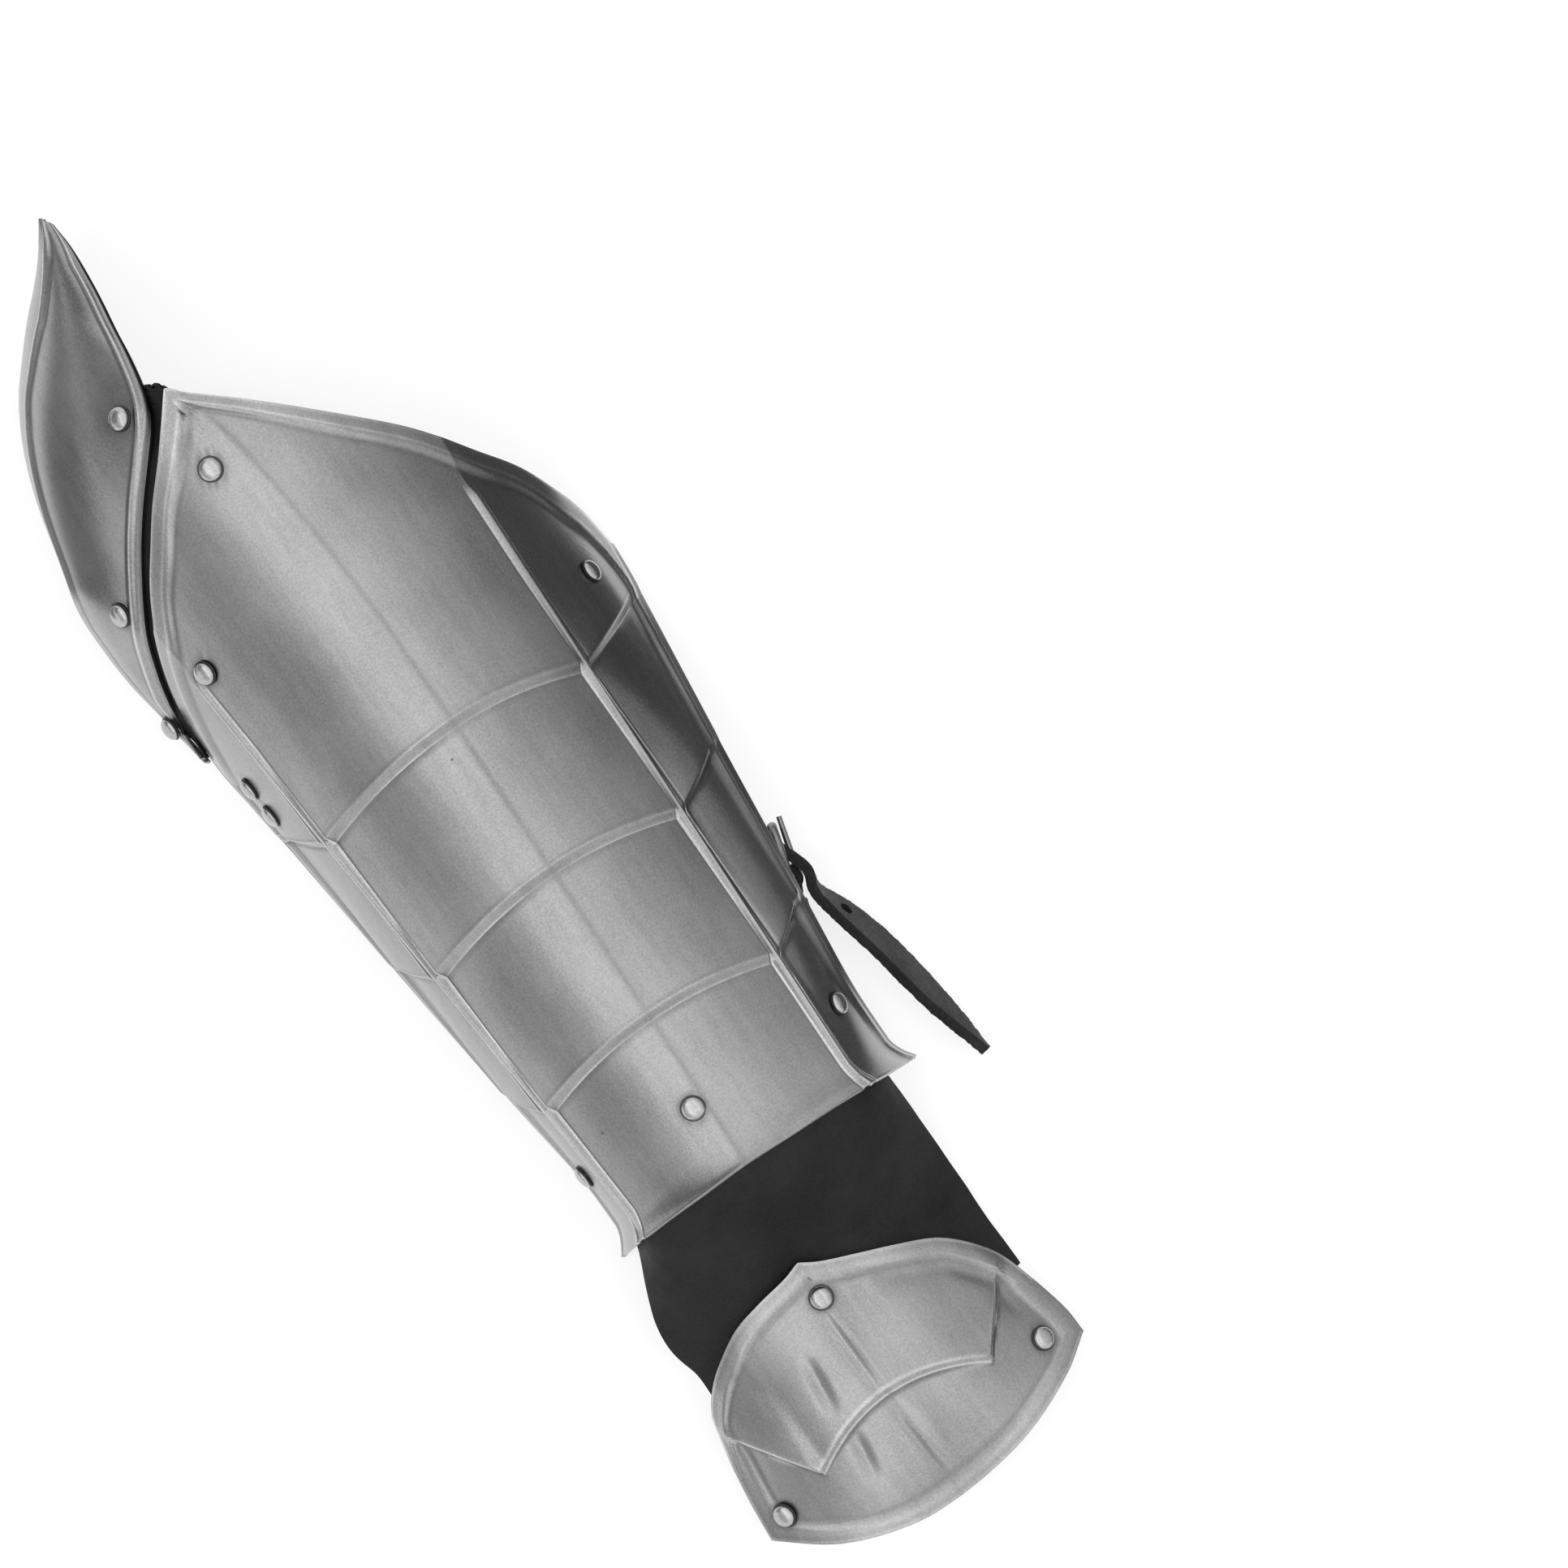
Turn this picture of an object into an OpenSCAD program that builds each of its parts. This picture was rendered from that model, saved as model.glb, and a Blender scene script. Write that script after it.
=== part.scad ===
/* [Forearm plate] */
// length of the forearm plate from the middle of the wrist edge to the point
cuff_length = 274; // [240:1:310]
// width of the forearm plate over its side edges just above the wrist flare
wrist_width = 98; // [85:0.5:112]
// width of the forearm plate over its side edges at the widest place
elbow_width = 134; // [118:0.5:150]
// height of the middle of the plate over the floor at the wrist
wrist_height = 52; // [42:0.5:62]
// height of the middle of the plate over the floor at the elbow end
elbow_height = 70; // [58:0.5:82]
// distance between the two long ridges at the wrist
ridge_gap_wrist = 76; // [66:0.5:86]
// distance between the two long ridges at the elbow end
ridge_gap_elbow = 97; // [86:0.5:108]
// height of the long ridges over the floor at the wrist
ridge_height_wrist = 38; // [30:0.5:44]
// height of the long ridges over the floor at the elbow end
ridge_height_elbow = 47; // [38:0.5:54]
// thickness of all the steel plates
plate_thick = 1.2; // [1:0.05:1.8]
// how far the beads of the long ridges stand out
bead_height = 1.3; // [0.6:0.05:2]
// width of the beads of the long ridges, most of it on the inner side
bead_width = 4.6; // [3:0.1:5.6]
// height of the three pressed steps that imitate lames
step_height = 2.2; // [1.2:0.05:3.2]
// length along the arm of the slope of a pressed step
step_run = 5; // [3.5:0.1:6.5]
// distance of the first pressed step from the wrist edge
step_first = 50; // [42:0.5:58]
// distance from one pressed step to the next one
step_pitch = 50; // [44:0.5:56]
// how far a pressed step runs down from the middle to the ridges
step_dip = 7; // [3:0.5:10]
// how far a pressed step runs up again from a ridge to the side edge
step_kick = 12; // [4:0.5:16]
// width of the flared rim round the plates
rim_width = 6; // [4:0.1:8]
// how far the flared rim stands out
rim_lift = 1.6; // [0.8:0.05:2.4]
// length of the flare at the wrist
flare_length = 9; // [6:0.5:13]
// how far the wrist edge flares out
flare_out = 4; // [2:0.1:5.5]
// how high the right side edge arches over the floor half way along
arch_right = 23.5; // [22.8:0.1:27]
// how high the left side edge arches over the floor half way along
arch_left = 6; // [2:0.1:12]
// height of the soft keel along the middle of the plates
keel_lift = 1.2; // [0.4:0.05:2]

/* [Wing plate] */
// length of the wing plate along the arm
wing_length = 160; // [140:1:180]
// how far the wing plate bulges out between its edges
wing_bulge = 8; // [4:0.1:10]
// how far the wing plate lies below the border of the forearm plate
wing_drop = 4; // [3.6:0.1:6]
// open gap seen from above between the wing plate and the forearm plate
wing_gap = 4; // [3.4:0.1:5]

/* [Hand plate] */
// length of the hand plate along the middle
hand_length = 83.4; // [74:0.2:94]
// width of the hand plate at its widest place
hand_width = 109.6; // [98:0.2:122]
// height of the middle of the hand plate over the floor
hand_height = 23; // [18:0.2:28]
// height of the side edges of the hand plate over the floor
hand_rest = 5; // [4.6:0.1:8]
// height of the pressed step across the hand plate
hand_step = 1.4; // [0.8:0.05:2]
// open distance between the wrist edge and the point of the hand plate
wrist_gap = 35; // [32:0.5:46]

/* [Leather] */
// thickness of the wrist and wing leathers
leather_thick = 2; // [1.6:0.1:2.6]
// clearance between a leather and the plate over it
leather_clear = 0.4; // [0.3:0.05:0.6]
// thickness of the straps
strap_thick = 3.2; // [2.6:0.1:3.4]
// width of the wrist strap
wrist_strap_width = 12; // [11:0.5:13]
// width of the elbow strap
elbow_strap_width = 22; // [18:0.5:26]
// thickness of the buckle tabs
tab_thick = 2; // [1.6:0.1:2.2]
// diameter of the free hole in the wrist strap
hole_size = 4.2; // [3.6:0.1:5]
// width of the palm strap
palm_strap_width = 18; // [14:0.5:22]

/* [Rivets and buckles] */
// diameter of the domed rivet heads
rivet_head = 7; // [6:0.1:8.4]
// height of the domed rivet heads
rivet_dome = 2.2; // [1.6:0.1:3]
// diameter of the rivet shanks
rivet_shank = 3; // [2.5:0.1:3.5]
// clearance between a rivet shank and its holes on each side
rivet_clear = 0.12; // [0.08:0.01:0.25]
// outer diameter of the washers
washer_outer = 8; // [7:0.1:9]
// thickness of the washers
washer_thick = 0.9; // [0.7:0.05:1.2]
// diameter of the wire of the buckle frames
frame_wire = 3; // [2.6:0.1:3.2]
// distance between the two bars of a buckle frame
frame_pitch = 16; // [15:0.2:19]
// diameter of the wire of the prongs
prong_wire = 2.4; // [2:0.1:2.6]
// clearance between a buckle frame and the leather or wire round it
buckle_clear = 0.25; // [0.2:0.01:0.35]

/* [Hidden] */
$fn = 48;
shift_x = -1;
shift_y = -111.6;

function mix(a, b, t) = a + (b - a) * t;
function held(t) = max(0, min(1, t));
function soft(t) = held(t) * held(t) * (3 - 2 * held(t));
function unit(v) = v / norm(v);

// smooth curve through a table of rows with a place and a value
function row_of(tab, s, i = 0) = (i >= len(tab) - 2 || s < tab[i + 1][0]) ? i : row_of(tab, s, i + 1);
function slope_of(tab, i) =
  i == 0 ? (tab[1][1] - tab[0][1]) / (tab[1][0] - tab[0][0]) :
  i == len(tab) - 1 ? (tab[i][1] - tab[i - 1][1]) / (tab[i][0] - tab[i - 1][0]) :
  (tab[i + 1][1] - tab[i - 1][1]) / (tab[i + 1][0] - tab[i - 1][0]);
function curve_in(tab, s, i) =
  let (
    h = tab[i + 1][0] - tab[i][0],
    t = (s - tab[i][0]) / h,
    a = slope_of(tab, i) * h,
    b = slope_of(tab, i + 1) * h
  )
  tab[i][1] * (2 * t * t * t - 3 * t * t + 1) + a * (t * t * t - 2 * t * t + t)
  + tab[i + 1][1] * (3 * t * t - 2 * t * t * t) + b * (t * t * t - t * t);
function curve_at(tab, s) =
  s <= tab[0][0] ? tab[0][1] :
  s >= tab[len(tab) - 1][0] ? tab[len(tab) - 1][1] :
  curve_in(tab, s, row_of(tab, s));

// sheet with a thickness: rows of points outside and inside, both from left to right
module sheet(outer, inner) {
  nu = len(outer[0]);
  nv = len(outer);
  pts = concat([for (r = outer) each r], [for (r = inner) each r]);
  m = nu * nv;
  faces = concat(
    [for (j = [0 : nv - 2], i = [0 : nu - 2]) each [
      [j * nu + i, (j + 1) * nu + i, (j + 1) * nu + i + 1],
      [j * nu + i, (j + 1) * nu + i + 1, j * nu + i + 1],
      [m + j * nu + i, m + (j + 1) * nu + i + 1, m + (j + 1) * nu + i],
      [m + j * nu + i, m + j * nu + i + 1, m + (j + 1) * nu + i + 1]]],
    [for (i = [0 : nu - 2]) each [
      [i, i + 1, m + i + 1],
      [i, m + i + 1, m + i],
      [(nv - 1) * nu + i + 1, (nv - 1) * nu + i, m + (nv - 1) * nu + i],
      [(nv - 1) * nu + i + 1, m + (nv - 1) * nu + i, m + (nv - 1) * nu + i + 1]]],
    [for (j = [0 : nv - 2]) each [
      [(j + 1) * nu, j * nu, m + j * nu],
      [(j + 1) * nu, m + j * nu, m + (j + 1) * nu],
      [j * nu + nu - 1, (j + 1) * nu + nu - 1, m + (j + 1) * nu + nu - 1],
      [j * nu + nu - 1, m + (j + 1) * nu + nu - 1, m + j * nu + nu - 1]]]
  );
  polyhedron(points = pts, faces = faces, convexity = 8);
}

// forearm plate: x of the side edges, ridges and middle, and their heights
scale_y = cuff_length / 274;
bulge_left = 65.6 * elbow_width / 134;
bulge_right = 66.2 * elbow_width / 134;
waist_left = 44.6 * wrist_width / 98;
waist_right = 50.4 * wrist_width / 98;
left_table = [[0, 0], [18, 0.015], [48, 0.195], [80, 0.388], [112, 0.567], [144, 0.752], [168, 0.9], [180, 0.975], [196, 1]];
right_table = [[0, 0.02], [22, 0.055], [53, 0.26], [79, 0.425], [104, 0.595], [125, 0.745], [145, 0.89], [160, 0.985], [171, 1.03]];
crown_table = [[0, 0], [54, 0.36], [104, 0.68], [152, 0.98], [200, 1.06], [274, 0.98]];
middle_table = [[0, -1.2], [54, 0.3], [104, 1.2], [152, 2.2], [200, 1.5], [250, -3.4], [280, -11.7]];
arch_table = [[-4, 0], [10, 0.42], [22, 0.7], [36, 0.9], [55, 0.99], [78, 1], [100, 0.95], [125, 0.68], [150, 0.28], [172, 0]];
function place_y(y) = y / scale_y;
function left_x(y) = -mix(waist_left, bulge_left, curve_at(left_table, place_y(y)));
function right_x(y) = mix(waist_right, bulge_right, curve_at(right_table, place_y(y)));
function middle_x(y) = curve_at(middle_table, place_y(y));
function crown_z(y) = mix(wrist_height, elbow_height, curve_at(crown_table, place_y(y)));
function ridge_x(y, side) =
  side * mix(ridge_gap_wrist, ridge_gap_elbow, held(place_y(y) / 205)) / 2 + mix(0.6, -5.2, held(place_y(y) / 205));
function ridge_z(y, side) =
  mix(ridge_height_wrist, ridge_height_elbow, held(place_y(y) / 170)) + (side > 0 ? 1.5 : -0.8);
function edge_z(y, side) =
  side > 0 ? 0.3 + arch_right * curve_at(arch_table, place_y(y)) : 0.3 + arch_left * curve_at(arch_table, place_y(y));
function panel(a, b, t, side, out) =
  let (d = [b[0] - a[0], b[1] - a[1]], n = [side * d[1], abs(d[0])] / norm(d))
  [mix(a[0], b[0], t), mix(a[1], b[1], t)] + n * out * 4 * t * (1 - t);
function fore_section(u, y) =
  let (
    la = [left_x(y), edge_z(y, -1)],
    lr = [ridge_x(y, -1), ridge_z(y, -1)],
    mc = [middle_x(y), crown_z(y)],
    rr = [ridge_x(y, 1), ridge_z(y, 1)],
    ra = [right_x(y), edge_z(y, 1)],
    q = abs(u - 2)
  )
  u < 1 ? panel(la, lr, u, -1, 2.2) :
  u > 3 ? panel(ra, rr, 4 - u, 1, 2.2) :
  u < 2 ? [mix(mc[0], lr[0], q), mc[1] - (mc[1] - lr[1]) * q * q] :
  [mix(mc[0], rr[0], q), mc[1] - (mc[1] - rr[1]) * q * q];
function fore_base(u, y) = let (s = fore_section(u, y)) [s[0], y, s[1]];
function fore_normal(u, y) =
  let (
    h = 0.02,
    a = fore_section(min(4, u + h), y) - fore_section(max(0, u - h), y),
    b = fore_base(u, y + 1) - fore_base(u, y - 1)
  )
  unit(cross([a[0], 0, a[1]], b));

// outline of the forearm plate at the elbow end and at the wrist
top_table = [
  [-66.6, 193], [-63.2, 205], [-59.2, 214.1], [-54.4, 222.6], [-48.8, 231.4], [-41.4, 240.4],
  [-33.6, 249.6], [-24.6, 258.9], [-16.8, 267.8], [-11.7, 274]
];
top_right = [
  [-11.7, 274], [-8, 270.3], [5.9, 258.3], [25.4, 240.3], [40, 226.1], [50.9, 212.1],
  [58.3, 202.5], [62.9, 192.9], [65.9, 183.6], [67.6, 170.4]
];
function top_y(x) =
  let (k = x < 0 ? bulge_left / 67 : bulge_right / 67.6, w = x / k)
  scale_y * (w < -11.7 ? curve_at(top_table, w) : curve_at(top_right, w));
function top_slope(x) = (top_y(x + 0.5) - top_y(x - 0.5)) / 1;
function top_cos(x) = 1 / sqrt(1 + top_slope(x) * top_slope(x));
function top_end(u, y, n) = n == 0 ? y : top_end(u, mix(y, top_y(fore_section(u, y)[0]), 0.8), n - 1);
function fore_top(u) = top_end(u, 230, 14);
function wrist_y(u) = 0 - 6 * pow(abs(u - 2) / 2, 1.2);
function step_y(k, u) =
  let (q = abs(u - 2))
  step_first + k * step_pitch - step_dip * min(1, q) * min(1, q) + step_kick * max(0, q - 1) - 2;

// how far the pressed shape stands out from the smooth plate
function step_lift(u, y) = step_full(u, y) * (0.1 + 0.9 * held(min(u, 4 - u) / 0.32));
function step_full(u, y) =
  let (h = step_height / 2, a = step_y(0, u), b = step_y(1, u), c = step_y(2, u), r = step_run)
  y < a ? -h * held((y - wrist_y(u)) / (a - wrist_y(u))) :
  y < a + r ? mix(-h, h, (y - a) / r) :
  y < b ? mix(h, -h, (y - a - r) / (b - a - r)) :
  y < b + r ? mix(-h, h, (y - b) / r) :
  y < c ? mix(h, -h, (y - b - r) / (c - b - r)) :
  y < c + r ? mix(-h, h, (y - c) / r) :
  h * (1 - held((y - c - r) / 30));
function ridge_near(u, y) =
  let (
    side = u < 2 ? -1 : 1,
    gap = abs(fore_section(u, y)[0] - ridge_x(y, side)),
    rise = abs(fore_section(u, y)[1] - ridge_z(y, side))
  )
  norm([gap, rise]);
function bead_lift(u, y) =
  bead_height * held(1 - ridge_near(u, y) / (bead_width * (u > 1 && u < 3 ? 0.74 : 0.26)))
  * held((206 * scale_y - y) / 5);
function keel(u, y) = keel_lift * exp(-abs(fore_section(u, y)[0] - middle_x(y)) / 6);
function side_far(u, y) =
  let (e = u < 2 ? fore_section(0, y) : fore_section(4, y))
  norm(fore_section(u, y) - e);
function border_far(u, y) =
  min(side_far(u, y), (fore_top(u) - y) * top_cos(fore_section(u, y)[0]));
function rim_up(d) = rim_lift * held((rim_width - d) / 1.6) * (0.55 + 0.45 * held(1 - d / rim_width));
function flare(u, y) = flare_out * pow(held(1 - (y - wrist_y(u)) / flare_length), 1.6);
function fore_lift(u, y) =
  let (b = bead_lift(u, y), k = held(b / bead_height))
  step_lift(u, y) * (1 - k) + b + keel(u, y) + flare(u, y);
function fore_point(u, y, deep) =
  fore_base(u, y) + fore_normal(u, y) * (fore_lift(u, y) + rim_up(border_far(u, y)) - deep);
// the plate without beads and rim, for what lies under it
function fore_under(u, y, deep) = fore_base(u, y) + fore_normal(u, y) * (step_lift(u, y) + flare(u, y) - deep);

left_cols = [0, 0.06, 0.115, 0.15, 0.32, 0.5, 0.68, 0.86, 0.97, 1, 1.083, 1.2, 1.32, 1.44, 1.56, 1.67, 1.78, 1.9];
cols = concat(left_cols, [2], [for (i = [len(left_cols) - 1 : -1 : 0]) 4 - left_cols[i]]);
function fore_rows(u) =
  let (
    w = wrist_y(u),
    f = w + flare_length,
    a = step_y(0, u),
    b = step_y(1, u),
    c = step_y(2, u),
    r = step_run,
    t = fore_top(u),
    k = 1 / top_cos(fore_section(u, t)[0]),
    inn = max(c + r + 2.4, t - rim_width * k),
    mid = max(c + r + 3.6, t - (rim_width - 1.6) * k)
  )
  concat(
    [w, w + 2, w + 4.5, f],
    [for (s = [0.35, 0.7]) mix(f, a, s)],
    [a, a + r],
    [for (s = [0.2, 0.45, 0.72]) mix(a + r, b, s)],
    [b, b + r],
    [for (s = [0.2, 0.45, 0.72]) mix(b + r, c, s)],
    [c, c + r],
    [for (s = [0.14, 0.3, 0.46, 0.62, 0.76, 0.89]) mix(c + r, inn, s)],
    [inn, mid, mix(mid, t, 0.6), t]
  );
fore_count = len(fore_rows(2));
fore_grid = [for (u = cols) fore_rows(u)];

// rivets of the forearm plate: place on the plate, across and along
rivet_main = [
  [1.79, 248], [1.08, 203], [0.5, 170], [0.5, 160], [3.55, 166], [1.9, 21], [0.52, 21], [3.46, 21]
];
hole_wide = rivet_shank + 2 * rivet_clear;

module place() {
  translate([shift_x, shift_y, 0])
    children();
}

module forearm_plate() {
  color([0.62, 0.63, 0.65])
    place()
      difference() {
        sheet(
          [for (j = [0 : fore_count - 1]) [for (i = [0 : len(cols) - 1]) fore_point(cols[i], fore_grid[i][j], 0)]],
          [for (j = [0 : fore_count - 1]) [for (i = [0 : len(cols) - 1])
            fore_point(cols[i], fore_grid[i][j], plate_thick)]]
        );
        for (i = [0 : 7]) {
          on_main(i)
            bore();
        }
      }
}

// hand plate: places along it count from its point towards the fingers
hx = hand_width / 109.6;
hy = hand_length / 83.4;
hand_left = [[-65.1, -59.6], [-52.6, -58.5], [-40, -56.7]];
hand_right = [[-66.1, 50], [-57.9, 49.4], [-45.4, 46.4]];
hand_top_left = [
  [-56.7, -40], [-55.1, -32.8], [-53.1, -24.6], [-47.6, -17], [-40.1, -11], [-31.9, -6.3], [-21.7, -3.6],
  [-12, -1.8], [-6.6, 0]
];
hand_top_right = [
  [-6.6, 0], [-1.1, -3.3], [9, -7.6], [19.1, -11.9], [29.1, -16.9], [34.2, -21.2], [39.3, -27.5], [43.3, -35],
  [46.4, -45.4]
];
hand_low = [[-59.6, -65.1], [-42.7, -76.2], [-22, -82.8], [-4.5, -83.6], [18.9, -80.4], [39.2, -72.9], [50, -66.1]];
hand_crown = [[-84, 0.56], [-57, 0.9], [-27, 1], [0, 0.87]];
function hand_top(x) = hy * (x / hx < -6.6 ? curve_at(hand_top_left, x / hx) : curve_at(hand_top_right, x / hx));
function hand_bottom(x) = hy * curve_at(hand_low, x / hx);
function hand_x(u, v) = hx * mix(curve_at(hand_left, v / hy), curve_at(hand_right, v / hy), u);
function hand_to(u, v, top, n) =
  n == 0 ? v : hand_to(u, mix(v, top ? hand_top(hand_x(u, v)) : hand_bottom(hand_x(u, v)), 0.8), top, n - 1);
function hand_z(x, v) =
  let (
    m = -5 * hx,
    half = x < m ? m - hx * curve_at(hand_left, v / hy) : hx * curve_at(hand_right, v / hy) - m,
    q = abs(x - m) / half,
    c = hand_height * curve_at(hand_crown, v / hy)
  )
  hand_rest + (c - 1.2) * (1 - pow(min(q, 1.15), 2.2));
function hand_normal(x, v) =
  unit([-(hand_z(x + 0.3, v) - hand_z(x - 0.3, v)) / 0.6, -(hand_z(x, v + 0.3) - hand_z(x, v - 0.3)) / 0.6, 1]);
function hand_line(x) =
  let (w = x / hx)
  hy * (w < -35.4 ? -56.6 - (w + 35.4) * 1.33 : w > 23.6 ? -57.3 + (w - 23.6) * 1.2 :
  -47 - 10 * pow(abs(w + 6) / 29.5, 2));
function hand_far(x, v) =
  let (
    a = hand_top(x) - v,
    sa = (hand_top(x + 0.5) - hand_top(x - 0.5)),
    b = v - hand_bottom(x),
    sb = (hand_bottom(x + 0.5) - hand_bottom(x - 0.5)),
    c = min(x - hx * curve_at(hand_left, v / hy), hx * curve_at(hand_right, v / hy) - x)
  )
  min(a / sqrt(1 + sa * sa), b / sqrt(1 + sb * sb), c);
function hand_lift(x, v) =
  hand_step * held((v - hand_line(x)) / 3) * (1 - 0.8 * held((v - hand_line(x) - 3) / 26))
  + keel_lift * 0.8 * exp(-abs(x + 6 * hx) / 4) * held((hand_far(x, v) - 3) / 6);
function hand_point(x, v, deep) =
  [x, v - wrist_gap, hand_z(x, v)]
  + hand_normal(x, v) * (hand_lift(x, v) + rim_up(hand_far(x, v)) - deep);
hand_cols = [
  0, 0.03, 0.055, 0.09, 0.14, 0.19, 0.225, 0.29, 0.35, 0.41, 0.455, 0.485, 0.52, 0.56, 0.62, 0.69, 0.745, 0.79, 0.84,
  0.885, 0.93, 0.95, 0.975, 1
];
function hand_rows(u) =
  let (
    t = hand_to(u, -20, true, 16),
    b = hand_to(u, -75, false, 16),
    w = min(rim_width, (t - b) * 0.24),
    ti = t - w * 1.15,
    bi = b + w * 1.1,
    l = max(bi + 3, min(ti - 5, hand_line(hand_x(u, -50))))
  )
  concat(
    [b, b + w * 0.45, b + w * 0.85, bi],
    [for (s = [0.35, 0.7]) mix(bi, l, s)],
    [l, l + 1.5, l + 3],
    [for (s = [0.15, 0.32, 0.5, 0.68, 0.85]) mix(l + 3, ti, s)],
    [ti, t - w * 0.85, t - w * 0.4, t]
  );
hand_grid = [for (u = hand_cols) hand_rows(u)];
hand_count = len(hand_rows(0.5));
function hand_sheet(deep) =
  [for (j = [0 : hand_count - 1]) [for (i = [0 : len(hand_cols) - 1])
    hand_point(hand_x(hand_cols[i], hand_grid[i][j]), hand_grid[i][j], deep)]];
rivet_hand = [[-6.5, -12.3], [39.9, -60.5], [-52.4, -60.5]];

// wing plate: points of its lower outer edge, and of its inner edge past the corner
outer_edge = [
  [-67.2, 182, 1.4], [-68.6, 190, 1.4], [-70, 198, 1.4], [-71, 208, 1.4], [-71.8, 220, 1.4], [-72.3, 234, 1.4],
  [-71.6, 250, 1.4], [-69.6, 263, 1.6], [-66, 278, 2.4], [-60.4, 292.6, 3.8], [-53, 305, 6], [-45, 314, 9],
  [-37, 322, 12.5], [-30, 328, 16], [-24, 333.5, 20], [-19.5, 338.5, 24], [-16.5, 342.3, 26]
];
free_edge = [
  [-17.2, 278, 62], [-15.2, 290, 56], [-14.3, 301.4, 49], [-13.1, 314, 41.5], [-12.7, 329, 32], [-13.6, 339.5, 27]
];
seam_cols = [0, 0, 0.1, 0.25, 0.45, 0.7, 1, 1.2, 1.4, 1.6, 1.78];
function wing_fit(p) =
  let (y = 182 * scale_y + (p[1] - 182) * wing_length / 160)
  [p[0] * bulge_left / 65.6, y, p[2] > 1.5 ? p[2] * elbow_height / 70 : p[2]];
function seam_point(u) =
  let (
    y = fore_top(u),
    p = fore_base(u, y),
    s = top_slope(p[0] + 0.3),
    n = [-s, 1] / sqrt(1 + s * s),
    g = mix(3.6, wing_gap, held(u / 0.5))
  )
  [p[0] + n[0] * g, y + n[1] * g, max(9, p[2] - wing_drop)];
function free_fit(p) =
  let (c = seam_point(1.78), d = wing_fit(p) - wing_fit([-20.6, 270, 64.5]))
  c + d;
inner_edge = concat(
  [[left_x(186 * scale_y) - 3.9, 185 * scale_y, 5]],
  [for (k = [1 : 10]) seam_point(seam_cols[k])],
  [for (p = free_edge) free_fit(p)]
);
outer_line = [for (p = outer_edge) wing_fit(p)];
function spline(l, s) =
  let (
    i = max(0, min(len(l) - 2, floor(s))),
    t = s - i,
    a = l[max(0, i - 1)],
    b = l[i],
    c = l[i + 1],
    d = l[min(len(l) - 1, i + 2)]
  )
  b + 0.5 * t * (c - a + t * (2 * a - 5 * b + 4 * c - d + t * (3 * (b - c) + d - a)));
function wing_out(s) =
  let (a = spline(outer_line, s), b = spline(inner_edge, s))
  unit(cross(b - a, spline(outer_line, min(15.9, s + 0.4)) + spline(inner_edge, min(15.9, s + 0.4))
    - spline(outer_line, max(0.1, s - 0.4)) - spline(inner_edge, max(0.1, s - 0.4))));
function wing_width(s) = norm(spline(outer_line, s) - spline(inner_edge, s));
function wing_base(s, t) =
  mix(spline(outer_line, s), spline(inner_edge, s), t)
  + wing_out(s) * wing_bulge * min(1.15, wing_width(s) / 66) * 4 * t * (1 - t);
function wing_normal(s, t) =
  unit(cross(
    wing_base(s, min(1, t + 0.03)) - wing_base(s, max(0, t - 0.03)),
    wing_base(min(15.95, s + 0.15), t) - wing_base(max(0.05, s - 0.15), t)
  ));
function bump(d, wide) = held(1 - abs(d) / wide);
function wing_lift(s, t) =
  let (w = wing_width(s), k = min(1, w / 24))
  k * (bead_height * 0.8 * bump(t * w - 4.5 * k, 1.5) + bead_height * 0.65 * bump((1 - t) * w - 3.7 * k, 1.4));
function wing_point(s, t, deep) = wing_base(s, t) + wing_normal(s, t) * (wing_lift(s, t) - deep);
function wing_under(s, t, deep) = wing_base(s, t) - wing_normal(s, t) * deep;
function wing_cols(s) =
  let (w = wing_width(s), k = min(1, w / 24), a = 6 * k / w, b = 1 - 5.1 * k / w)
  concat(
    [0, 1.5 * k / w, 3 * k / w, 4.5 * k / w, a],
    [for (m = [0.17, 0.34, 0.5, 0.67, 0.84]) mix(a, b, m)],
    [b, 1 - 3.7 * k / w, 1 - 2.3 * k / w, 1]
  );
wing_rows = [for (j = [0 : 32]) min(16, j / 2)];
function wing_sheet(deep) = [for (s = wing_rows) [for (t = wing_cols(s)) wing_point(s, t, deep)]];
rivet_wing = [[10.05, 0.868], [6.2, 0.836], [2.6, 0.64]];

// wing leather: from under the forearm plate across the seam to under the wing plate
lace_u = [[1.5, 0.62], [2, 0.72], [4, 1], [6, 1.25], [8, 1.52], [10, 1.8], [10.6, 1.93]];
lace_y = [[1.5, 178], [2, 180], [4, 190], [6, 201], [8, 218], [10, 236], [10.6, 239]];
seam_table = [for (k = [1 : 10]) [k, seam_cols[k]]];
function web_spot(s, c) =
  let (
    ub = max(0.3, curve_at(seam_table, min(s, 10))) + max(0, s - 10) * 0.2,
    yb = fore_top(ub) - 1.5,
    ui = curve_at(lace_u, s),
    yi = curve_at(lace_y, s) * scale_y,
    k = c / 4
  )
  [mix(ui, ub, k), mix(yi, yb, k)];
under_gap = plate_thick + leather_clear;
function web_point(s, c, deep) =
  c <= 4 ? let (q = web_spot(s, c), e = 1.6 * held((3.8 - s) / 1.2) * c / 4) fore_under(q[0], q[1], under_gap + deep + e) :
  let (w = s + 1.15 * held((3.15 - s) / 1.15) * pow((9 - c) / 4, 2))
  wing_under(w, [1, 0.9, 0.76, 0.6, 0.44][c - 5], under_gap + deep);
web_rows = [for (j = [0 : 22]) 2 + j * 8.6 / 22];
function web_sheet(deep) = [for (s = web_rows) [for (c = [9 : -1 : 0]) web_point(s, c, deep)]];

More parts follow.
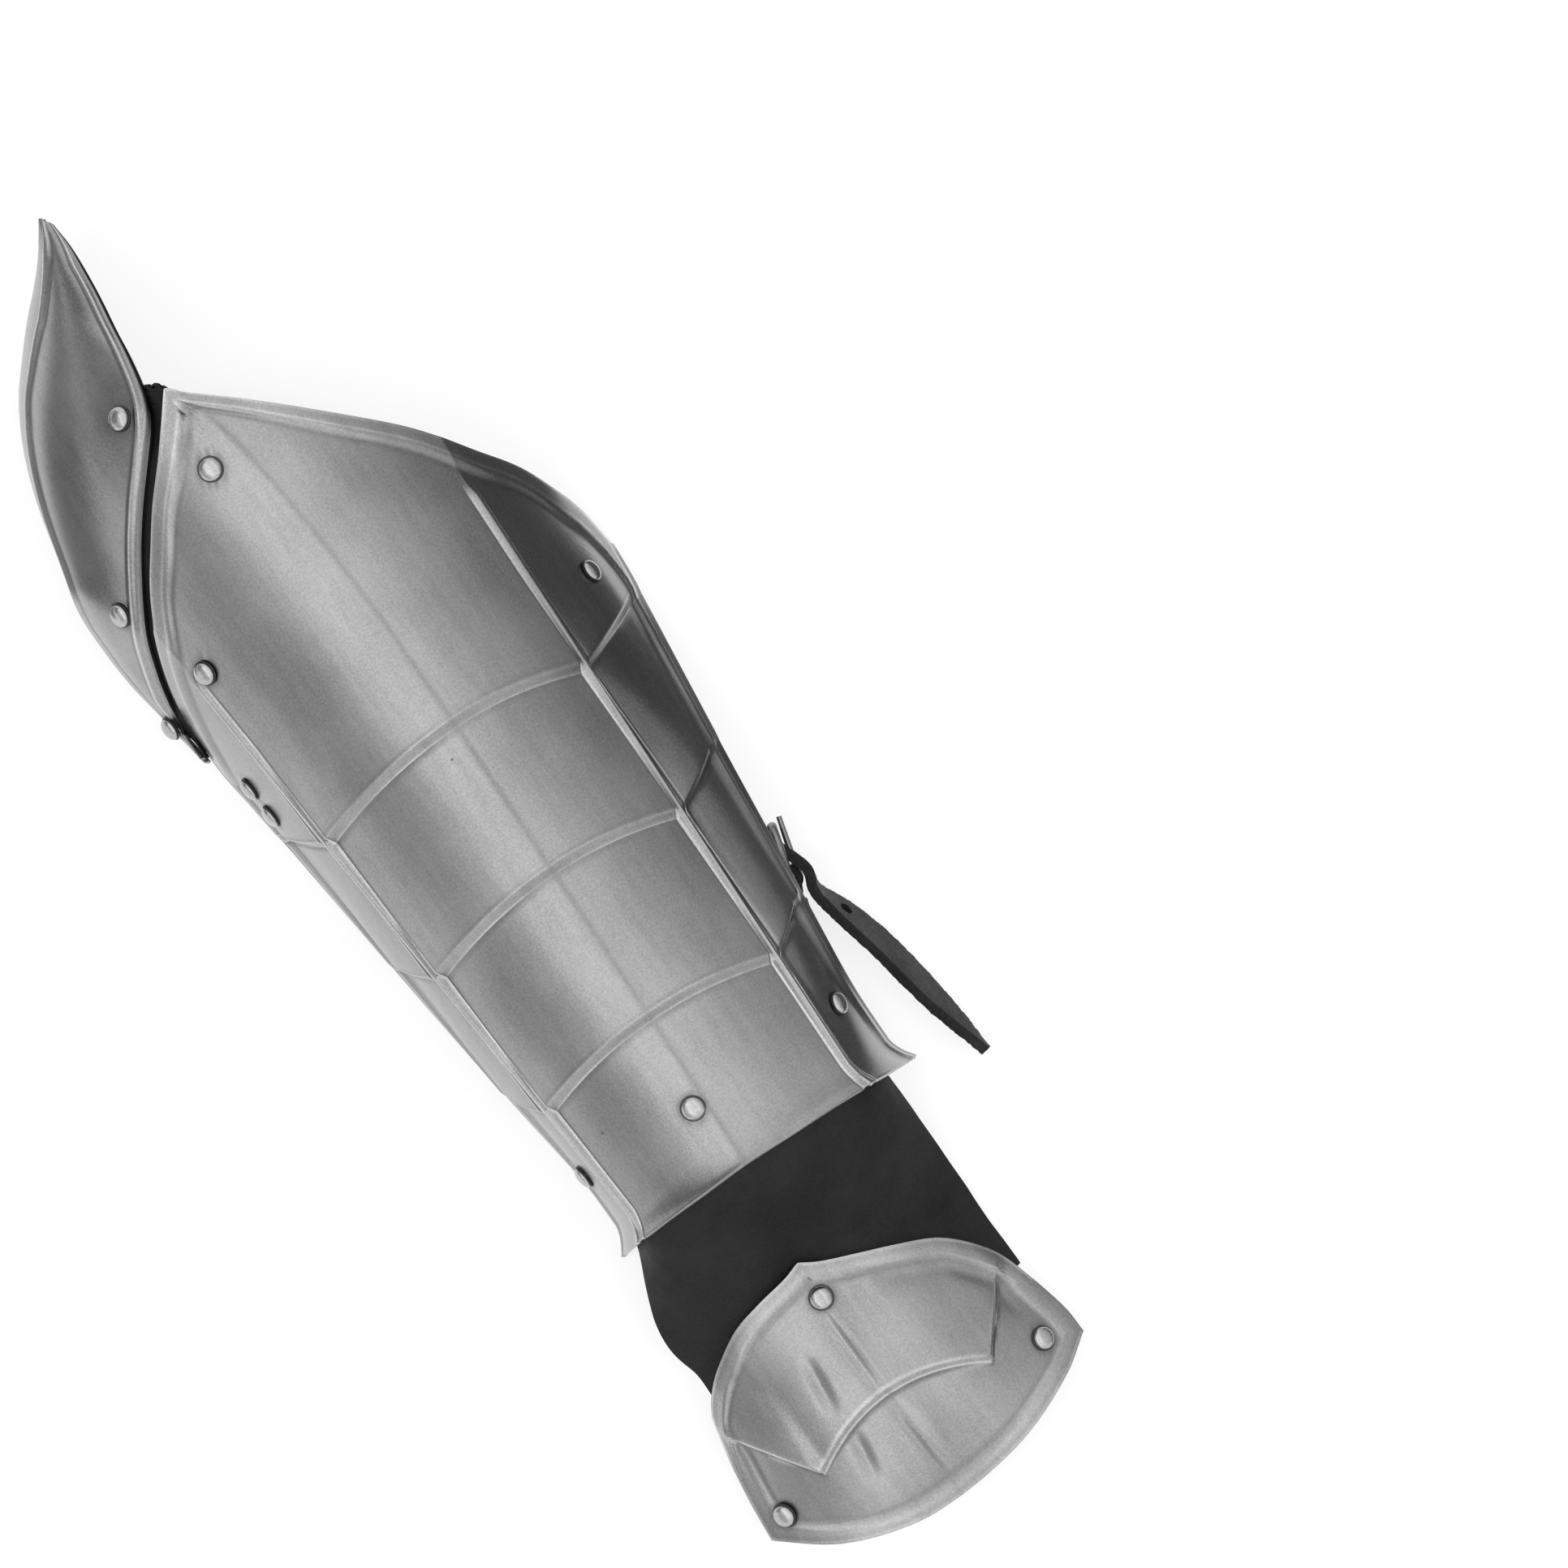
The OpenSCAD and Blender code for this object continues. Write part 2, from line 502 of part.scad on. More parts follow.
// wrist leather: under the forearm plate, free over the wrist, under the hand plate
function cuff_u(p, y) = mix(0.3, 3.7, p) + (p < 0.5 ? 1 : -1) * 0.17 * held((12 - y) / 12) * abs(2 * p - 1);
cuff_left = [[-41, -49.5], [-34, -51.5], [-25, -52], [-10, -51.5]];
cuff_right = [[-41, 48], [-20, 47.6], [-3, 48.2]];
function cuff_x(p, v) = hx * mix(curve_at(cuff_left, v / hy), curve_at(cuff_right, v / hy), p);
function cuff_v(p, k) = mix(-2.5 - 9 * pow(abs(2 * p - 1), 1.4), -39.5, k) * hy;
function cuff_at(p, k, deep) =
  let (
    v = cuff_v(p, k),
    x = cuff_x(p, v),
    q = [x, v - wrist_gap, hand_z(x, v)] - hand_normal(x, v) * (under_gap + deep)
  )
  [q[0], q[1], max(q[2], 0.4 + leather_thick - deep)];
function arm_at(p, y, deep) =
  let (u = cuff_u(p, y), f = flare(u, y) * 0.65)
  fore_under(u, y, under_gap + 0.25 + deep + f);
function free_at(p, t, deep) =
  let (
    y = wrist_y(cuff_u(p, 0)) + 0.5,
    a = arm_at(p, y, deep),
    b = cuff_at(p, 0, deep),
    ta = [0, -26, -9],
    tb = [0, -26, -5],
    w = p < 0.5 ? -5.2 * hx * pow(1 - 2 * p, 1.5) * pow(sin(180 * pow(t, 1.15)), 1.3) : 0
  )
  [w, 0, 0] + a * (2 * t * t * t - 3 * t * t + 1) + ta * (t * t * t - 2 * t * t + t)
  + b * (3 * t * t - 2 * t * t * t) + tb * (t * t * t - t * t);
cuff_cols = [for (i = [0 : 20]) i / 20];
function cuff_sheet(deep) = concat(
  [for (k = [1, 0.75, 0.5, 0.25]) [for (p = cuff_cols) cuff_at(p, k, deep)]],
  [for (t = [1 : -0.125 : 0]) [for (p = cuff_cols) free_at(p, t, deep)]],
  [for (y = [2, 5, 9, 14, 21, 28, 34]) [for (p = cuff_cols) arm_at(p, max(y, wrist_y(cuff_u(p, y)) + 2.5), deep)]]
);

// flat strip swept along a line: rows of place, direction of its width, width
function strip_way(r, i) = unit(r[min(len(r) - 1, i + 1)][0] - r[max(0, i - 1)][0]);
function strip_ring(r, i, thick) =
  let (
    d = strip_way(r, i),
    w = unit(r[i][1] - d * (r[i][1] * d)),
    n = cross(d, w),
    a = w * r[i][2] / 2,
    b = n * thick / 2
  )
  [r[i][0] - a - b, r[i][0] + a - b, r[i][0] + a + b, r[i][0] - a + b];
module strip(r, thick) {
  m = len(r) - 1;
  pts = [for (i = [0 : m]) each strip_ring(r, i, thick)];
  faces = concat(
    [for (i = [0 : m - 1], k = [0 : 3]) each [
      [4 * i + k, 4 * i + 4 + k, 4 * i + 4 + (k + 1) % 4],
      [4 * i + k, 4 * i + 4 + (k + 1) % 4, 4 * i + (k + 1) % 4]]],
    [[0, 1, 2], [0, 2, 3], [4 * m + 2, 4 * m + 1, 4 * m], [4 * m + 3, 4 * m + 2, 4 * m]]
  );
  polyhedron(points = pts, faces = faces, convexity = 8);
}
function fill(r, n) = [for (j = [0 : n * (len(r) - 1)]) let (s = j / n) [
  spline([for (q = r) q[0]], s), unit(spline([for (q = r) q[1]], s)), spline([for (q = r) q[2]], s)]];

// buckle: x runs with the strap, z points away from the arm, the frame turns on the bar at plus x
bar = frame_wire / 2;
half_pitch = frame_pitch / 2;
ring_mid = bar + buckle_clear + prong_wire / 2;
over_bar = ring_mid + prong_wire / 2 + buckle_clear + strap_thick / 2 + 0.1;
under_bar = -(bar + buckle_clear + strap_thick / 2 + 0.1);
function frame_half(wide) = wide / 2 + 1 + bar;
module wire_corner(r) {
  rotate_extrude(angle = 90)
    translate([r, 0])
      circle(r = bar, $fn = 24);
}
module frame_loop(wide) {
  h = frame_half(wide);
  r = 4;
  a = half_pitch;
  for (s = [-1, 1]) {
    translate([s * a, 0, 0])
      rotate([90, 0, 0])
        cylinder(r = bar, h = 2 * (h - r), center = true, $fn = 24);
    translate([0, s * h, 0])
      rotate([0, 90, 0])
        cylinder(r = bar, h = 2 * (a - r), center = true, $fn = 24);
  }
  translate([a - r, h - r, 0])
    wire_corner(r);
  translate([-a + r, h - r, 0])
    rotate([0, 0, 90])
      wire_corner(r);
  translate([-a + r, -h + r, 0])
    rotate([0, 0, 180])
      wire_corner(r);
  translate([a - r, -h + r, 0])
    rotate([0, 0, 270])
      wire_corner(r);
}
prong_reach = frame_pitch + 2.4;
module prong_shape() {
  translate([half_pitch, 0, 0])
    rotate([90, 0, 0])
      rotate_extrude()
        translate([ring_mid, 0])
          circle(d = prong_wire, $fn = 24);
  translate([half_pitch - prong_reach, 0, ring_mid - 0.06])
    rotate([0, 90, 0])
      cylinder(d1 = prong_wire - 0.8, d2 = prong_wire - 0.2, h = prong_reach - 0.5, $fn = 24);
}
fold_in = bar + buckle_clear;
fold_out = fold_in + tab_thick;
leg_end = 11.5;
module tab_fold(wide) {
  difference() {
    rotate([90, 0, 0])
      linear_extrude(height = wide, center = true)
        difference() {
          union() {
            translate([half_pitch, 0])
              circle(r = fold_out, $fn = 36);
            translate([half_pitch, 0])
              polygon([
                [0, fold_out], [6.4, tab_thick + 0.05], [leg_end, tab_thick + 0.05],
                [leg_end, -tab_thick - 0.05], [6.4, -tab_thick - 0.05], [0, -fold_out]
              ]);
          }
          translate([half_pitch, 0])
            circle(r = fold_in, $fn = 36);
        }
    translate([half_pitch - 6, -prong_wire / 2 - 0.8, -8])
      cube([6 + ring_mid + prong_wire / 2 + 0.8, prong_wire + 1.6, 16]);
  }
}
rivet_spot = half_pitch + 8.6;
module tab_hole() {
  translate([rivet_spot, 0, -6])
    cylinder(d = 2.2 + 2 * rivet_clear, h = 12, $fn = 24);
}
module tab_rivet_shape() {
  translate([rivet_spot, 0, -tab_thick - 0.15])
    cylinder(d = 2.2, h = 2 * tab_thick + 0.3, $fn = 24);
  for (s = [0, 180]) {
    translate([rivet_spot, 0, 0])
      rotate([s, 0, 0])
        translate([0, 0, tab_thick + 0.15])
          cylinder(d1 = 4.4, d2 = 3, h = 0.9, $fn = 24);
  }
}
module slot_cut(z) {
  translate([z, 0, 0])
    linear_extrude(height = 20, center = true)
      square([11.5, prong_wire + 1.2], center = true);
}
slot_mid = half_pitch - (over_bar - ring_mid) * frame_pitch / (over_bar - under_bar);

// wrist buckle stands outside the right side edge
wb = [waist_right + 6.8, 66.5 * scale_y, frame_half(wrist_strap_width) + bar + 0.4];
wd = unit([-0.28, -1, 0]);
wn = [-wd[1], wd[0], 0];
function wrist_to(x, z) = wb + wd * x + wn * z;
module at_wrist() {
  translate(wb)
    multmatrix([[wd[0], 0, wn[0], 0], [wd[1], 0, wn[1], 0], [0, -1, 0, 0], [0, 0, 0, 1]])
      children();
}
floor_mid = strap_thick / 2 + 0.6;
// elbow buckle lies on the floor under the arm with its outer side down
elbow_y = 165 * scale_y;
eb = [34 * elbow_width / 134, elbow_y, over_bar + floor_mid];
function elbow_to(x, z) = [eb[0] + x, elbow_y, eb[2] - z];
module at_elbow() {
  translate(eb)
    rotate([180, 0, 0])
      children();
}

// wrist strap from the left side plate under the arm, through its buckle and on as the free end
function side_way(u, y) = unit(fore_base(min(4, u + 0.2), y) - fore_base(max(0, u - 0.2), y));
deep_strap = under_gap + leather_thick + 1 + strap_thick / 2;
low = wrist_strap_width / 2 + 0.8;
function on_left(y) = [fore_under(0.52, y, deep_strap), side_way(0.52, y), wrist_strap_width];
up = [0, 0, 1];
wrist_path = [
  on_left(12), on_left(21), on_left(30),
  [[-36.5, 42 * scale_y, 19], [0.12, 0, 1], wrist_strap_width],
  [[-27, 54 * scale_y, 14], [0.05, 0, 1], wrist_strap_width],
  [[-13, 64 * scale_y, 10.5], up, wrist_strap_width],
  [[5, 72 * scale_y, low + 0.2], up, wrist_strap_width],
  [[24, 78 * scale_y, low], up, wrist_strap_width],
  [[waist_right - 8.5, 82 * scale_y, low + 0.4], up, wrist_strap_width],
  [[waist_right - 2.4, 82 * scale_y, low + 1.2], up, wrist_strap_width],
  [[waist_right + 2.6, 80.6 * scale_y, wb[2] - 0.6], up, wrist_strap_width],
  [wrist_to(-11, under_bar - 0.7), up, wrist_strap_width],
  [wrist_to(-half_pitch - 0.6, under_bar), up, wrist_strap_width],
  [wrist_to(-half_pitch + 3, under_bar + 1.2), up, wrist_strap_width],
  [wrist_to(half_pitch - 3, over_bar - 1.2), up, wrist_strap_width],
  [wrist_to(half_pitch + 1, over_bar), up, wrist_strap_width],
  [wrist_to(14, over_bar + 0.2), [-0.12, 0, 1], wrist_strap_width],
  [[waist_right + 12.2, 41.5 * scale_y, 9], [-0.42, 0, 1], wrist_strap_width],
  [[waist_right + 16, 27.5 * scale_y, 7.8], [-0.55, 0, 1], wrist_strap_width],
  [[waist_right + 19.4, 8 * scale_y, 7], [-0.5, 0, 1], wrist_strap_width],
  [[waist_right + 21.8, -5, 6.6], [-0.3, 0, 1], wrist_strap_width * 0.9],
  [[waist_right + 23.2, -13, 6.4], [-0.18, 0, 1], wrist_strap_width * 0.5],
  [[waist_right + 23.7, -16.3, 6.4], [-0.12, 0, 1], wrist_strap_width * 0.25]
];
strap_rows = fill(wrist_path, 3);
hole_row = 51;
hole_way = cross(strip_way(strap_rows, hole_row), unit(strap_rows[hole_row][1])) * -1;
// wrist buckle tab from the right side plate to the fold round the frame
deep_tab = under_gap + leather_thick + 0.95 + tab_thick / 2;
tab_wide = wrist_strap_width - 2;
function on_right(u, y) = [fore_under(u, y, deep_tab), [-0.25, 0.7, 0.7], tab_wide];
tab_path = [
  on_right(3.33, 15.5 * scale_y), on_right(3.46, 21 * scale_y), on_right(3.58, 26 * scale_y),
  [[waist_right - 5.4, 30.5 * scale_y, 18.4], [-0.2, 0.6, 0.8], tab_wide],
  [[waist_right - 4.2, 35 * scale_y, 13.6], [-0.1, 0.4, 0.9], tab_wide],
  [[waist_right - 2.6, 39.2 * scale_y, 10.6], [0, 0.2, 1], tab_wide],
  [[waist_right - 1.2, 43.4 * scale_y, wb[2]], [0, 0.05, 1], tab_wide],
  [wrist_to(half_pitch + 11.2, -tab_thick / 2), up, tab_wide - 1],
  [wrist_to(half_pitch + 8, -tab_thick / 2), up, tab_wide - 1]
];

// elbow strap and tab: both lie in one upright plane across the arm
deep_elbow = under_gap + strap_thick / 2;
// a shorter cuff flares more steeply, so the strap lies deeper under its rivets
steeper = max(0, 20 * (1 / scale_y - 1));
function across(u, deep) =
  let (
    p = fore_under(u, elbow_y, deep + 0.35 + steeper / 2),
    w = unit(fore_under(u, elbow_y + 6, 0) - fore_under(u, elbow_y - 6, 0))
  )
  [[p[0], elbow_y, p[2]], w, 1];
function flat_at(x, z) = [[x, elbow_y, z], [0, 1, 0], 1];
function wide_as(r, w) = [for (q = r) [q[0], q[1], w]];
elbow_path = wide_as([
  across(0.78, deep_elbow), across(0.64, deep_elbow), across(0.5, deep_elbow), across(0.36, deep_elbow),
  across(0.24, deep_elbow),
  flat_at(-bulge_left + 9, 5.2), flat_at(-bulge_left + 15, floor_mid + 0.4), flat_at(-bulge_left + 23, floor_mid),
  flat_at(-20, floor_mid), flat_at(eb[0] - 30, floor_mid), flat_at(eb[0] - 20, floor_mid + 2.5),
  [elbow_to(-half_pitch - 1, under_bar), [0, 1, 0], 1],
  [elbow_to(-half_pitch + 3, under_bar + 1.2), [0, 1, 0], 1],
  [elbow_to(half_pitch - 3, over_bar - 1.2), [0, 1, 0], 1],
  [elbow_to(half_pitch + 1, over_bar), [0, 1, 0], 1],
  [elbow_to(14, over_bar), [0, 1, 0], 1],
  [elbow_to(20, over_bar), [0, 1, 0], 1]
], elbow_strap_width);
elbow_tab_wide = elbow_strap_width - 2;
elbow_tab_path = wide_as([
  across(3.3, under_gap + tab_thick / 2), across(3.44, under_gap + tab_thick / 2),
  across(3.6, under_gap + tab_thick / 2), across(3.74, under_gap + tab_thick / 2),
  flat_at(eb[0] + 24.5, eb[2] + 1.4),
  [elbow_to(half_pitch + 11.4, -tab_thick / 2), [0, 1, 0], 1],
  [elbow_to(half_pitch + 8, -tab_thick / 2), [0, 1, 0], 1]
], elbow_tab_wide);

// palm strap across the open side of the hand plate
palm_v = -60.5 * hy;
function palm_at(x, deep) =
  let (p = [x, palm_v - wrist_gap, hand_z(x, palm_v)], n = hand_normal(x, palm_v), q = p - n * deep)
  [[q[0], palm_v - wrist_gap, q[2]], [0, 1, (hand_z(x, palm_v + 4) - hand_z(x, palm_v - 4)) / 8], palm_strap_width];
palm_deep = under_gap + strap_thick / 2 + 0.35;
palm_path = [
  palm_at(-55.5 * hx, palm_deep), palm_at(-51 * hx, palm_deep), palm_at(-46 * hx, palm_deep + 0.6),
  [[-38 * hx, palm_v - wrist_gap, floor_mid + 2.2], [0, 1, 0], palm_strap_width],
  [[-28 * hx, palm_v - wrist_gap, floor_mid + 0.1], [0, 1, 0], palm_strap_width],
  [[-5 * hx, palm_v - wrist_gap, floor_mid - 0.2], [0, 1, 0], palm_strap_width],
  [[17 * hx, palm_v - wrist_gap, floor_mid + 0.1], [0, 1, 0], palm_strap_width],
  [[27 * hx, palm_v - wrist_gap, floor_mid + 2.2], [0, 1, 0], palm_strap_width],
  palm_at(34.5 * hx, palm_deep + 1.2), palm_at(39 * hx, palm_deep + 0.1), palm_at(43 * hx, palm_deep)
];

// domed rivet through a stack, with its washer and riveted end inside
dome_ball = (rivet_head * rivet_head / 4 + rivet_dome * rivet_dome) / (2 * rivet_dome);
module turned(p, n) {
  translate(p)
    rotate([0, acos(n[2]), atan2(n[1], n[0])])
      children();
}
module rivet(stack) {
  translate([0, 0, 0.42])
    difference() {
      translate([0, 0, rivet_dome - dome_ball])
        sphere(r = dome_ball);
      translate([0, 0, -2 * dome_ball])
        cube(4 * dome_ball, center = true);
    }
  translate([0, 0, -stack - washer_thick - 0.5])
    cylinder(d = rivet_shank, h = stack + washer_thick + 0.5 + 1);
  translate([0, 0, -stack - washer_thick - 1.1])
    cylinder(d1 = rivet_shank + 0.4, d2 = rivet_shank + 1.6, h = 0.8);
}
module washer(stack) {
  translate([0, 0, -stack - washer_thick - 0.16])
    difference() {
      cylinder(d = washer_outer, h = washer_thick);
      translate([0, 0, -1])
        cylinder(d = hole_wide, h = washer_thick + 2);
    }
}
leather_stack = under_gap + leather_thick + 0.6;
function main_stack(i) =
  i < 2 ? leather_stack : i < 4 ? under_gap + strap_thick + 0.75 + steeper :
  i == 4 ? under_gap + tab_thick + 0.75 + steeper :
  i == 5 ? leather_stack + 0.25 : i == 6 ? leather_stack + strap_thick + 1 : leather_stack + tab_thick + 0.9;
module on_main(i) {
  r = rivet_main[i];
  n = fore_normal(r[0], r[1] * scale_y);
  turned(fore_under(r[0], r[1] * scale_y, 0), n)
    children();
}
module on_wing(i) {
  r = rivet_wing[i];
  turned(wing_base(r[0], r[1]), wing_normal(r[0], r[1]))
    children();
}
module on_hand(i) {
  x = rivet_hand[i][0] * hx;
  v = rivet_hand[i][1] * hy;
  turned([x, v - wrist_gap, hand_z(x, v)], hand_normal(x, v))
    children();
}
function hand_stack(i) = i == 0 ? leather_stack : under_gap + strap_thick + 0.7;
function hand_up(i) = hand_lift(rivet_hand[i][0] * hx, rivet_hand[i][1] * hy) + (i == 2 ? 0.7 : 0);
function keel_up(i) = keel(rivet_main[i][0], rivet_main[i][1] * scale_y) + (i == 1 ? 0.35 : 0);
module bore() {
  translate([0, 0, -14])
    cylinder(d = hole_wide, h = 24);
}

steel = [0.62, 0.63, 0.65];
rivet_steel = [0.7, 0.71, 0.73];
black = [0.1, 0.1, 0.1];
dark = [0.17, 0.17, 0.17];

module forearm_rivets() {
  color(rivet_steel)
    place()
      for (i = [0 : 7]) {
        on_main(i)
          union() {
            translate([0, 0, keel_up(i)])
              rivet(main_stack(i) + keel_up(i));
          }
      }
}
module forearm_washers() {
  color(steel)
    place()
      for (i = [0 : 7]) {
        on_main(i)
          washer(main_stack(i));
      }
}
module wing_plate() {
  color(steel)
    place()
      difference() {
        sheet(wing_sheet(0), wing_sheet(plate_thick));
        for (i = [0 : 2]) {
          on_wing(i)
            bore();
        }
      }
}
module wing_leather() {
  color(black)
    place()
      difference() {
        sheet(web_sheet(0), web_sheet(leather_thick));
        for (i = [0 : 2]) {
          on_wing(i)
            bore();
        }
        for (i = [0, 1]) {
          on_main(i)
            bore();
        }
      }
}
module wing_rivets() {
  color(rivet_steel)
    place()
      for (i = [0 : 2]) {
        on_wing(i)
          translate([0, 0, i == 2 ? 0.7 : 0])
            rivet(leather_stack + (i == 2 ? 0.95 : 0));
      }
}
module wing_washers() {
  color(steel)
    place()
      for (i = [0 : 2]) {
        on_wing(i)
          washer(leather_stack + (i == 2 ? 0.25 : 0));
      }
}
module wrist_leather() {
  color(black)
    place()
      difference() {
        sheet(cuff_sheet(0), cuff_sheet(leather_thick));
        for (i = [5, 6, 7]) {
          on_main(i)
            bore();
        }
        on_hand(0)
          bore();
      }
}
module hand_plate() {
  color(steel)
    place()
      difference() {
        sheet(hand_sheet(0), hand_sheet(plate_thick));
        for (i = [0 : 2]) {
          on_hand(i)
            bore();
        }
      }
}
module hand_rivets() {
  color(rivet_steel)
    place()
      for (i = [0 : 2]) {
        on_hand(i)
          translate([0, 0, hand_up(i)])
            rivet(hand_stack(i) + hand_up(i));
      }
}
module hand_washers() {
  color(steel)
    place()
      for (i = [0 : 2]) {
        on_hand(i)
          washer(hand_stack(i));
      }
}
module palm_strap() {
  color(dark)
    place()
      difference() {
        strip(fill(palm_path, 3), strap_thick);
        for (i = [1, 2]) {
          on_hand(i)
            bore();
        }
      }
}
module elbow_strap() {
  color(dark)
    place()
      difference() {
        strip(fill(elbow_path, 3), strap_thick);
        for (i = [2, 3]) {
          on_main(i)
            bore();
        }
        at_elbow()
          slot_cut(slot_mid);
      }
}
module elbow_tab() {
  color(dark)
    place()
      difference() {
        union() {
          strip(fill(elbow_tab_path, 3), tab_thick);
          at_elbow()
            tab_fold(elbow_tab_wide);
        }
        on_main(4)
          bore();
        at_elbow()
          tab_hole();
      }
}
module elbow_tab_rivet() {
  color(rivet_steel)
    place()
      at_elbow()
        tab_rivet_shape();
}
module elbow_frame() {
  color(steel)
    place()
      at_elbow()
        frame_loop(elbow_strap_width);
}
module elbow_prong() {
  color(steel)
    place()
      at_elbow()
        prong_shape();
}
module wrist_strap() {
  color(dark)
    place()
      difference() {
        strip(strap_rows, strap_thick);
        on_main(6)
          bore();
        at_wrist()
          slot_cut(slot_mid);
        turned(strap_rows[hole_row][0], hole_way)
          cylinder(d = hole_size, h = 16, center = true);
      }
}
module wrist_tab() {
  color(dark)
    place()
      difference() {
        union() {
          strip(fill(tab_path, 3), tab_thick);
          at_wrist()
            tab_fold(tab_wide);
        }
        on_main(7)
          bore();
        at_wrist()
          tab_hole();
      }
}
module wrist_tab_rivet() {
  color(rivet_steel)
    place()
      at_wrist()
        tab_rivet_shape();
}
module wrist_frame() {
  color(steel)
    place()
      at_wrist()
        frame_loop(wrist_strap_width);
}
module wrist_prong() {
  color(steel)
    place()
      at_wrist()
        prong_shape();
}

forearm_plate();
forearm_rivets();
forearm_washers();
wing_plate();
wing_leather();
wing_rivets();
wing_washers();
wrist_leather();
hand_plate();
hand_rivets();
hand_washers();
palm_strap();
elbow_strap();
elbow_tab();
elbow_tab_rivet();
elbow_frame();
elbow_prong();
wrist_strap();
wrist_tab();
wrist_tab_rivet();
wrist_frame();
wrist_prong();
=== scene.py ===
# Looks of the steel gauntlet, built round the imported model
import math
import bpy
import numpy as np
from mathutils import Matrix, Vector


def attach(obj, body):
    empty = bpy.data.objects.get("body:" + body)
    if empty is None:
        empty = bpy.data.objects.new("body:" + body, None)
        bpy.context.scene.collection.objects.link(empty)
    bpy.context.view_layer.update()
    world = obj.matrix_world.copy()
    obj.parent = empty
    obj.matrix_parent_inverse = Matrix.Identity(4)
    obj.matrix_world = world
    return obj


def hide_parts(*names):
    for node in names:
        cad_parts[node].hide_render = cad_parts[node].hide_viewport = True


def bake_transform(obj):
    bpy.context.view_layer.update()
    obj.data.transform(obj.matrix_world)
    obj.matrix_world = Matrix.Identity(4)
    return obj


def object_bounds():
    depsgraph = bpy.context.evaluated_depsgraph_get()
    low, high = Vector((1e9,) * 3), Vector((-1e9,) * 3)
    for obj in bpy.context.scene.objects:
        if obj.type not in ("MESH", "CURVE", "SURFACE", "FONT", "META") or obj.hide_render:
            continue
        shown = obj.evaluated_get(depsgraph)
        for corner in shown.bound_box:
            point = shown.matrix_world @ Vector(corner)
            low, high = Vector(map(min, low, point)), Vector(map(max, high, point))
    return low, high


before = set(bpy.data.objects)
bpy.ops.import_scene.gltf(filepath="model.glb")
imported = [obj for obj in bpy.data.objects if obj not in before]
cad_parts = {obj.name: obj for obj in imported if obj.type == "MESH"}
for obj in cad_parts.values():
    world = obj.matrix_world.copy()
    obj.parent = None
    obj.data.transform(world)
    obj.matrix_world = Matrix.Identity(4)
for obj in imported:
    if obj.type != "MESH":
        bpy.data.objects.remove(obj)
cadBox = [list(corner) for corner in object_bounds()]
print("frame loaded")

mm = 0.001
shift = np.array([-1.0, -111.6, 0.0])   # from the plate's own drawing to the shared frame


# small helpers for numbers
def mix(a, b, t):
    return a + (b - a) * t


def held(t):
    return np.clip(t, 0.0, 1.0)


def soft(t):
    t = held(t)
    return t * t * (3 - 2 * t)


def unit(v):
    return v / np.maximum(np.linalg.norm(v, axis=-1, keepdims=True), 1e-9)


def bell(d, wide):
    return np.exp(-(d / wide) ** 2)


def curveAt(table, place):
    # smooth line through rows of place and value
    xs = np.array([row[0] for row in table], float)
    ys = np.array([row[1] for row in table], float)
    slope = np.empty_like(ys)
    slope[1:-1] = (ys[2:] - ys[:-2]) / (xs[2:] - xs[:-2])
    slope[0] = (ys[1] - ys[0]) / (xs[1] - xs[0])
    slope[-1] = (ys[-1] - ys[-2]) / (xs[-1] - xs[-2])
    s = np.clip(place, xs[0], xs[-1])
    i = np.clip(np.searchsorted(xs, s, side="right") - 1, 0, len(xs) - 2)
    h = xs[i + 1] - xs[i]
    t = (s - xs[i]) / h
    a, b = slope[i] * h, slope[i + 1] * h
    return (ys[i] * (2 * t**3 - 3 * t**2 + 1) + a * (t**3 - 2 * t**2 + t)
            + ys[i + 1] * (3 * t**2 - 2 * t**3) + b * (t**3 - t**2))


def splineAt(points, s):
    # curve through points in space, one unit of s from a point to the next
    p = np.asarray(points, float)
    i = np.clip(np.floor(s).astype(int), 0, len(p) - 2)
    t = (s - i)[..., None]
    a, b, c, d = p[np.maximum(0, i - 1)], p[i], p[i + 1], p[np.minimum(len(p) - 1, i + 2)]
    return b + 0.5 * t * (c - a + t * (2 * a - 5 * b + 4 * c - d + t * (3 * (b - c) + d - a)))


def spread(stops, counts):
    # places along a line, with a chosen number of spaces between stops
    line = [np.linspace(stops[k], stops[k + 1], counts[k] + 1)[:-1] for k in range(len(counts))]
    return np.concatenate(line + [np.array([stops[-1]])])


def rowsAt(stops, counts):
    # rows of a sheet, with a chosen number of spaces between stops
    rows = [stops[k] + (stops[k + 1] - stops[k]) * m / counts[k]
            for k in range(len(counts)) for m in range(counts[k])]
    return np.stack(rows + [stops[-1]], 0)


def rimAt(form, far):
    # height of a turned border at a distance from the edge
    k = form["rimWide"]
    return form["rimLift"] * soft((k + 0.4 - far) / 2.2) * (0.55 + 0.45 * held(1 - far / k))


def dents(x, y, high):
    # shallow unevenness left by hammering and pressing
    return high * (np.sin(x / 15 + 1.3) * np.sin(y / 21 + 0.4) + 0.6 * np.sin(x / 8 + y / 27 + 2.0)
                   + 0.5 * np.sin(y / 12 - x / 33 + 0.7))


# small helpers for Blender
def deselectAll():
    if bpy.context.object and bpy.context.object.mode != "OBJECT":
        bpy.ops.object.mode_set(mode="OBJECT")
    bpy.ops.object.select_all(action="DESELECT")


def pick(piece):
    deselectAll()
    piece.select_set(True)
    bpy.context.view_layer.objects.active = piece


def applyAll(piece):
    pick(piece)
    for modifier in list(piece.modifiers):
        bpy.ops.object.modifier_apply(modifier=modifier.name)


